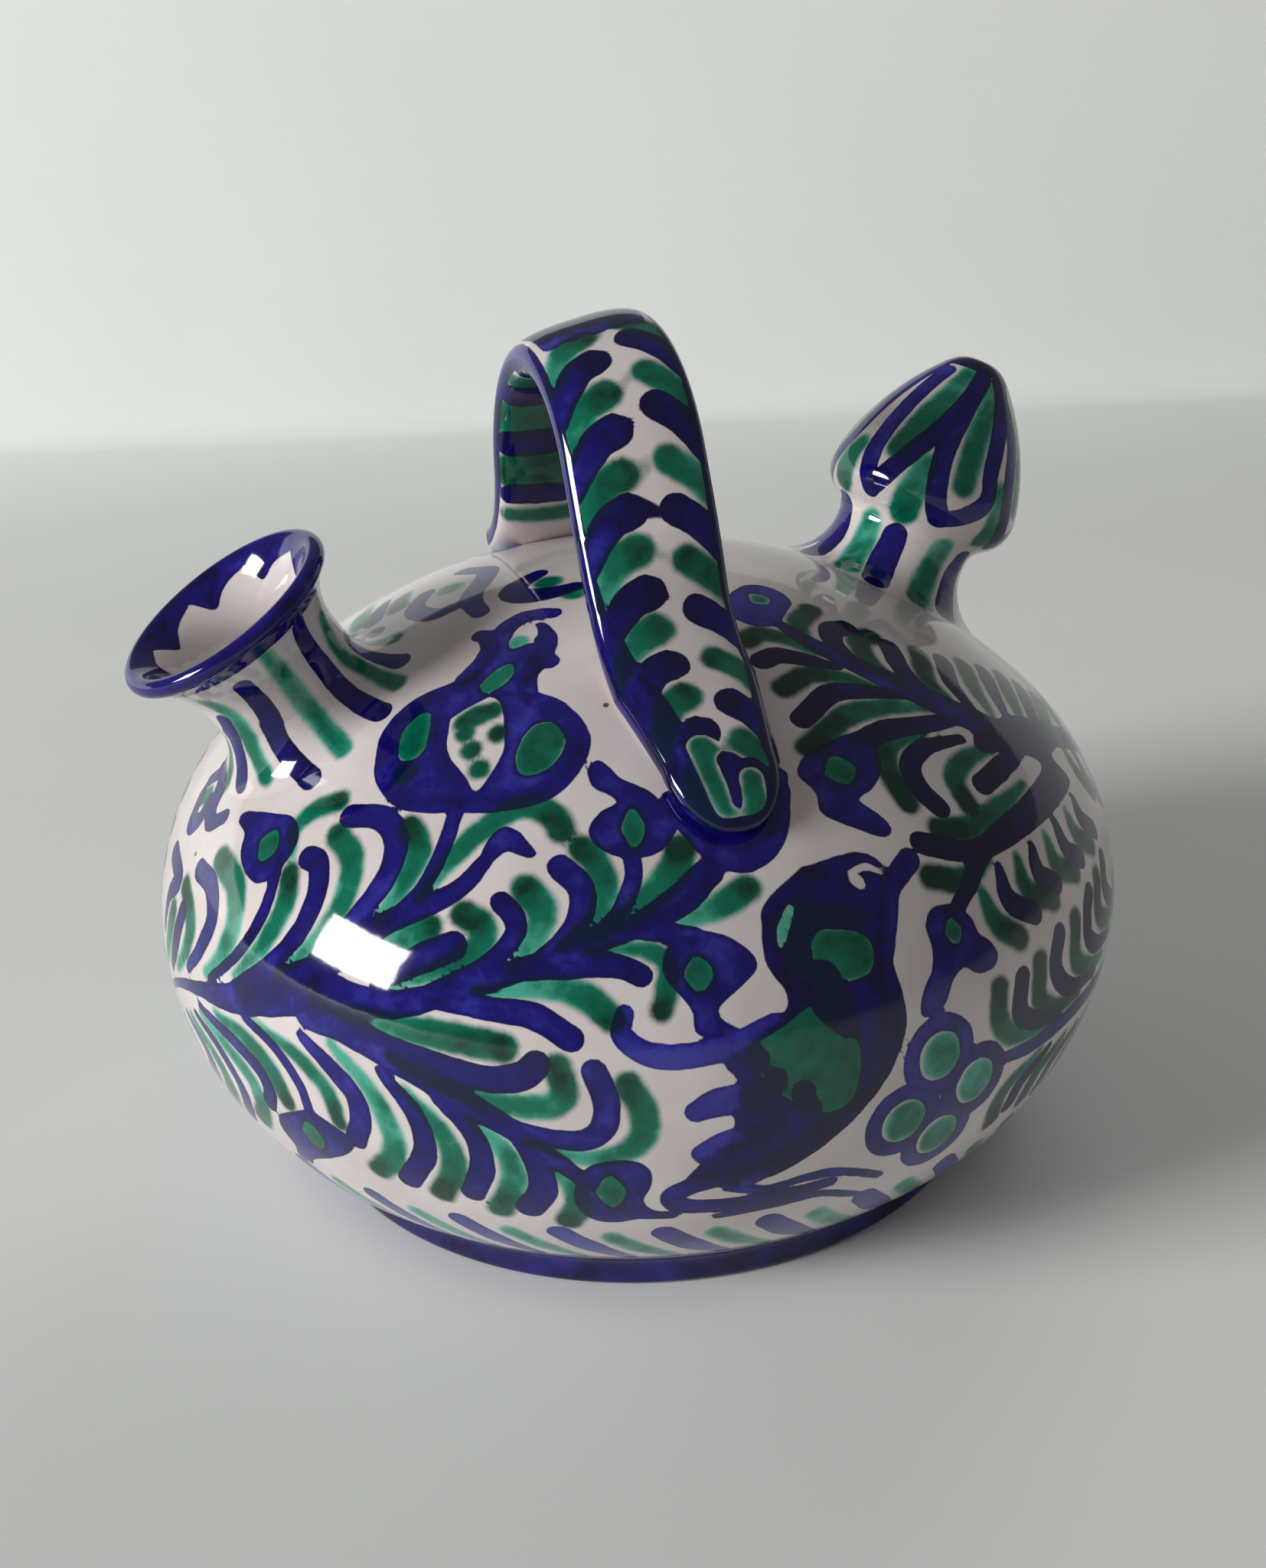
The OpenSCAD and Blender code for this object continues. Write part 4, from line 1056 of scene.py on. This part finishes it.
def shape_edge(spots, facing, outline, load):
    """The same for a filled shape, measured in the plane that lies along it. Spots that face away stay clear."""
    middle = outline.mean(0)
    axes = np.linalg.svd(outline - middle)[2]
    outward = axes[2] * np.sign(axes[2] @ (middle - (0, 0, WIDEST_Z)))
    flat = (spots - middle) @ axes[:2].T
    a = (outline - middle) @ axes[:2].T
    b = np.roll(a, -1, 0)
    step = b - a
    off = flat[:, None] - a
    share = ((off * step).sum(2) / ((step ** 2).sum(1) + 1e-9)).clip(0, 1)
    gap = np.linalg.norm(off - share[..., None] * step, axis=2).min(1)
    above = (a[:, 1] > flat[:, None, 1]) != (b[:, 1] > flat[:, None, 1])
    rise = np.where(np.abs(step[:, 1]) < 1e-9, 1e-9, step[:, 1])
    crossing = flat[:, None, 0] < a[:, 0] + (flat[:, None, 1] - a[:, 1]) / rise * step[:, 0]
    inside = (above & crossing).sum(1) % 2 == 1
    edge = np.where(inside, -gap, gap)
    return np.where(facing @ outward > FACES_IT, edge, CLEAR), np.full(len(spots), load[0])


def paint(piece):
    """Works through the strokes in the order they were laid and writes what they leave on a piece's vertices."""
    count = len(piece.data.vertices)
    spots, facing = np.empty(count * 3), np.empty(count * 3)
    piece.data.vertices.foreach_get("co", spots)
    piece.data.vertices.foreach_get("normal", facing)
    spots, facing = spots.reshape(-1, 3) / MM, facing.reshape(-1, 3)
    edges = {pigment: np.full(count, CLEAR) for pigment in (BLUE, GREEN)}
    loads = {pigment: np.full(count, 0.5) for pigment in (BLUE, GREEN)}
    for pigment, kind, path, half, load in strokes:
        reach = half.max() + NEAR
        near = np.flatnonzero(np.all((spots > path.min(0) - reach) & (spots < path.max(0) + reach), axis=1))
        if not near.size:
            continue
        if kind == "line":
            edge, left = stroke_edge(spots[near], path, half, load)
        else:
            edge, left = shape_edge(spots[near], facing[near], path, load)
        if pigment == BARE:
            for colour in edges.values():
                colour[near] = np.maximum(colour[near], -edge)
            continue
        closer = edge < edges[pigment][near]
        over = np.minimum(-edge, -edges[pigment][near]).clip(0, LAPPED) / LAPPED
        loads[pigment][near] = np.where(closer, left, loads[pigment][near]) + LAP_LOAD[pigment] * over
        edges[pigment][near] = np.minimum(edges[pigment][near], edge)
    for pigment in (BLUE, GREEN):
        for name, values in (("edge", edges), ("load", loads)):
            layer = piece.data.attributes.new(f"{pigment}_{name}", "FLOAT", "POINT")
            layer.data.foreach_set("value", values[pigment].astype(np.float32))


for piece in (bowl, dome, mouth, mouth_ring, spout, spout_ring, handle):
    paint(piece)

# Studio: a pale floor that sweeps up into a low pale wall behind the jug, both in matt paint. It isn't part of
# the jug.
LOOK = math.radians(-24.5)
STUDIO_WIDE = 16
FLOOR_FRONT = -3
WALL_BEHIND = 0.8
WALL_HIGH = 0.5
COVE_R = 0.02

bpy.ops.object.select_all(action="DESELECT")
bpy.ops.mesh.primitive_plane_add(size=1)
studio = bpy.context.object
studio.name = "studio_floor"
bpy.ops.object.mode_set(mode="EDIT")
bpy.ops.mesh.select_all(action="SELECT")
bpy.ops.transform.resize(value=(STUDIO_WIDE, 1, 1))
bpy.ops.transform.translate(value=(0, WALL_BEHIND - 0.5, 0))
bpy.ops.mesh.select_all(action="DESELECT")
bpy.ops.object.mode_set(mode="OBJECT")
for edge in studio.data.edges:
    ends = [studio.data.vertices[i].co for i in edge.vertices]
    edge.select = all(co.y > WALL_BEHIND - 0.1 for co in ends)
for vertex in studio.data.vertices:
    vertex.select = vertex.co.y > WALL_BEHIND - 0.1
    if not vertex.select:
        vertex.co.y = FLOOR_FRONT
bpy.ops.object.mode_set(mode="EDIT")
bpy.ops.mesh.extrude_region_move(TRANSFORM_OT_translate={"value": (0, 0, WALL_HIGH)})
bpy.ops.object.mode_set(mode="OBJECT")
cove = studio.modifiers.new("cove", "BEVEL")
cove.width = COVE_R
cove.segments = 8
bpy.ops.object.modifier_apply(modifier=cove.name)
bpy.ops.object.shade_smooth()
put(studio, Matrix.Rotation(LOOK, 4, "Z"))

# Matt emulsion paint, pale grey with a faint cloudiness
emulsion, tree = start_material("matt_grey_paint")
place = add_node(tree, "TexCoord", {}, "Object")
cloud = add_node(tree, "TexNoise", {"Vector": place, "Scale": 1 / 0.15, "Detail": 3.0})
colour = add_node(tree, "Mix", {0: cloud, 6: linear("#ebedea"), 7: linear("#f2f4f1")}, 2, data_type="RGBA")
surface = add_node(tree, "BsdfPrincipled", {"Base Color": colour, "Roughness": 0.9, "Specular IOR Level": 0.1})
add_node(tree, "OutputMaterial", {"Surface": surface})
studio.data.materials.append(emulsion)

# Light: a soft window at the left, as broad as its reflection in the glaze, and an even, weak room light. The
# window is far off, so that the floor and the wall near it don't glare.
WINDOW_AT = (math.radians(178), math.radians(18))
WINDOW_FAR = 4.8
WINDOW_WIDE = 1.8
WINDOW_HIGH = 1.3
WINDOW_WATTS = 228
JUG_MIDDLE = 0.08

bpy.ops.object.light_add(type="AREA")
window_lamp = bpy.context.object
window_lamp.name = "window"
window_lamp.data.shape = "RECTANGLE"
window_lamp.data.size = WINDOW_WIDE
window_lamp.data.size_y = WINDOW_HIGH
window_lamp.data.energy = WINDOW_WATTS
round_x = WINDOW_FAR * math.cos(WINDOW_AT[1]) * math.cos(WINDOW_AT[0])
round_y = WINDOW_FAR * math.cos(WINDOW_AT[1]) * math.sin(WINDOW_AT[0])
window_lamp.location = (round_x, round_y, JUG_MIDDLE + WINDOW_FAR * math.sin(WINDOW_AT[1]))
window_lamp.rotation_euler = (math.pi / 2 - WINDOW_AT[1], 0, WINDOW_AT[0] + math.pi / 2)

# A weak lamp behind the wall's right end keeps the far side readable, and leaves no reflection of its own
FAR_SIDE_AT = (1.45, 1.45, 1.2)
FAR_SIDE_SIZE = 1.2
FAR_SIDE_WATTS = 13
bpy.ops.object.light_add(type="AREA", location=FAR_SIDE_AT)
far_side_lamp = bpy.context.object
far_side_lamp.name = "far_side_lamp"
far_side_lamp.data.size = FAR_SIDE_SIZE
far_side_lamp.data.energy = FAR_SIDE_WATTS
far_side_lamp.rotation_euler = (math.radians(60), 0, math.radians(135))
far_side_lamp.visible_glossy = False

ROOM_LIGHT = 0.17
room = bpy.data.worlds.new("room")
bpy.context.scene.world = room
room.use_nodes = True
tree = room.node_tree
tree.nodes.clear()
sky = add_node(tree, "Background", {"Color": linear("#fbfaf8"), "Strength": ROOM_LIGHT})
add_node(tree, "OutputWorld", {"Surface": sky})

# Camera: at the photograph's viewing angle, with its place and lens worked out for a picture of 1654 by 2048
CAMERA_AT = (-0.1374, -0.3015, 0.2110)
FOCAL_PIXELS = 2200
PICTURE_HIGH = 2048
FILM = 36.0
CAMERA_TILT = math.radians(67.31)
CAMERA_ROLL = math.radians(-2.61)

bpy.ops.object.camera_add(location=CAMERA_AT)
camera = bpy.context.object
camera.data.sensor_width = FILM
camera.data.lens = FILM * FOCAL_PIXELS / PICTURE_HIGH
camera.data.clip_start = 0.01
aim = Matrix.Rotation(LOOK, 4, "Z") @ Matrix.Rotation(CAMERA_TILT, 4, "X")
aim = aim @ Matrix.Rotation(CAMERA_ROLL, 4, "Z")
camera.matrix_world = Matrix.Translation(CAMERA_AT) @ aim
bpy.context.scene.camera = camera
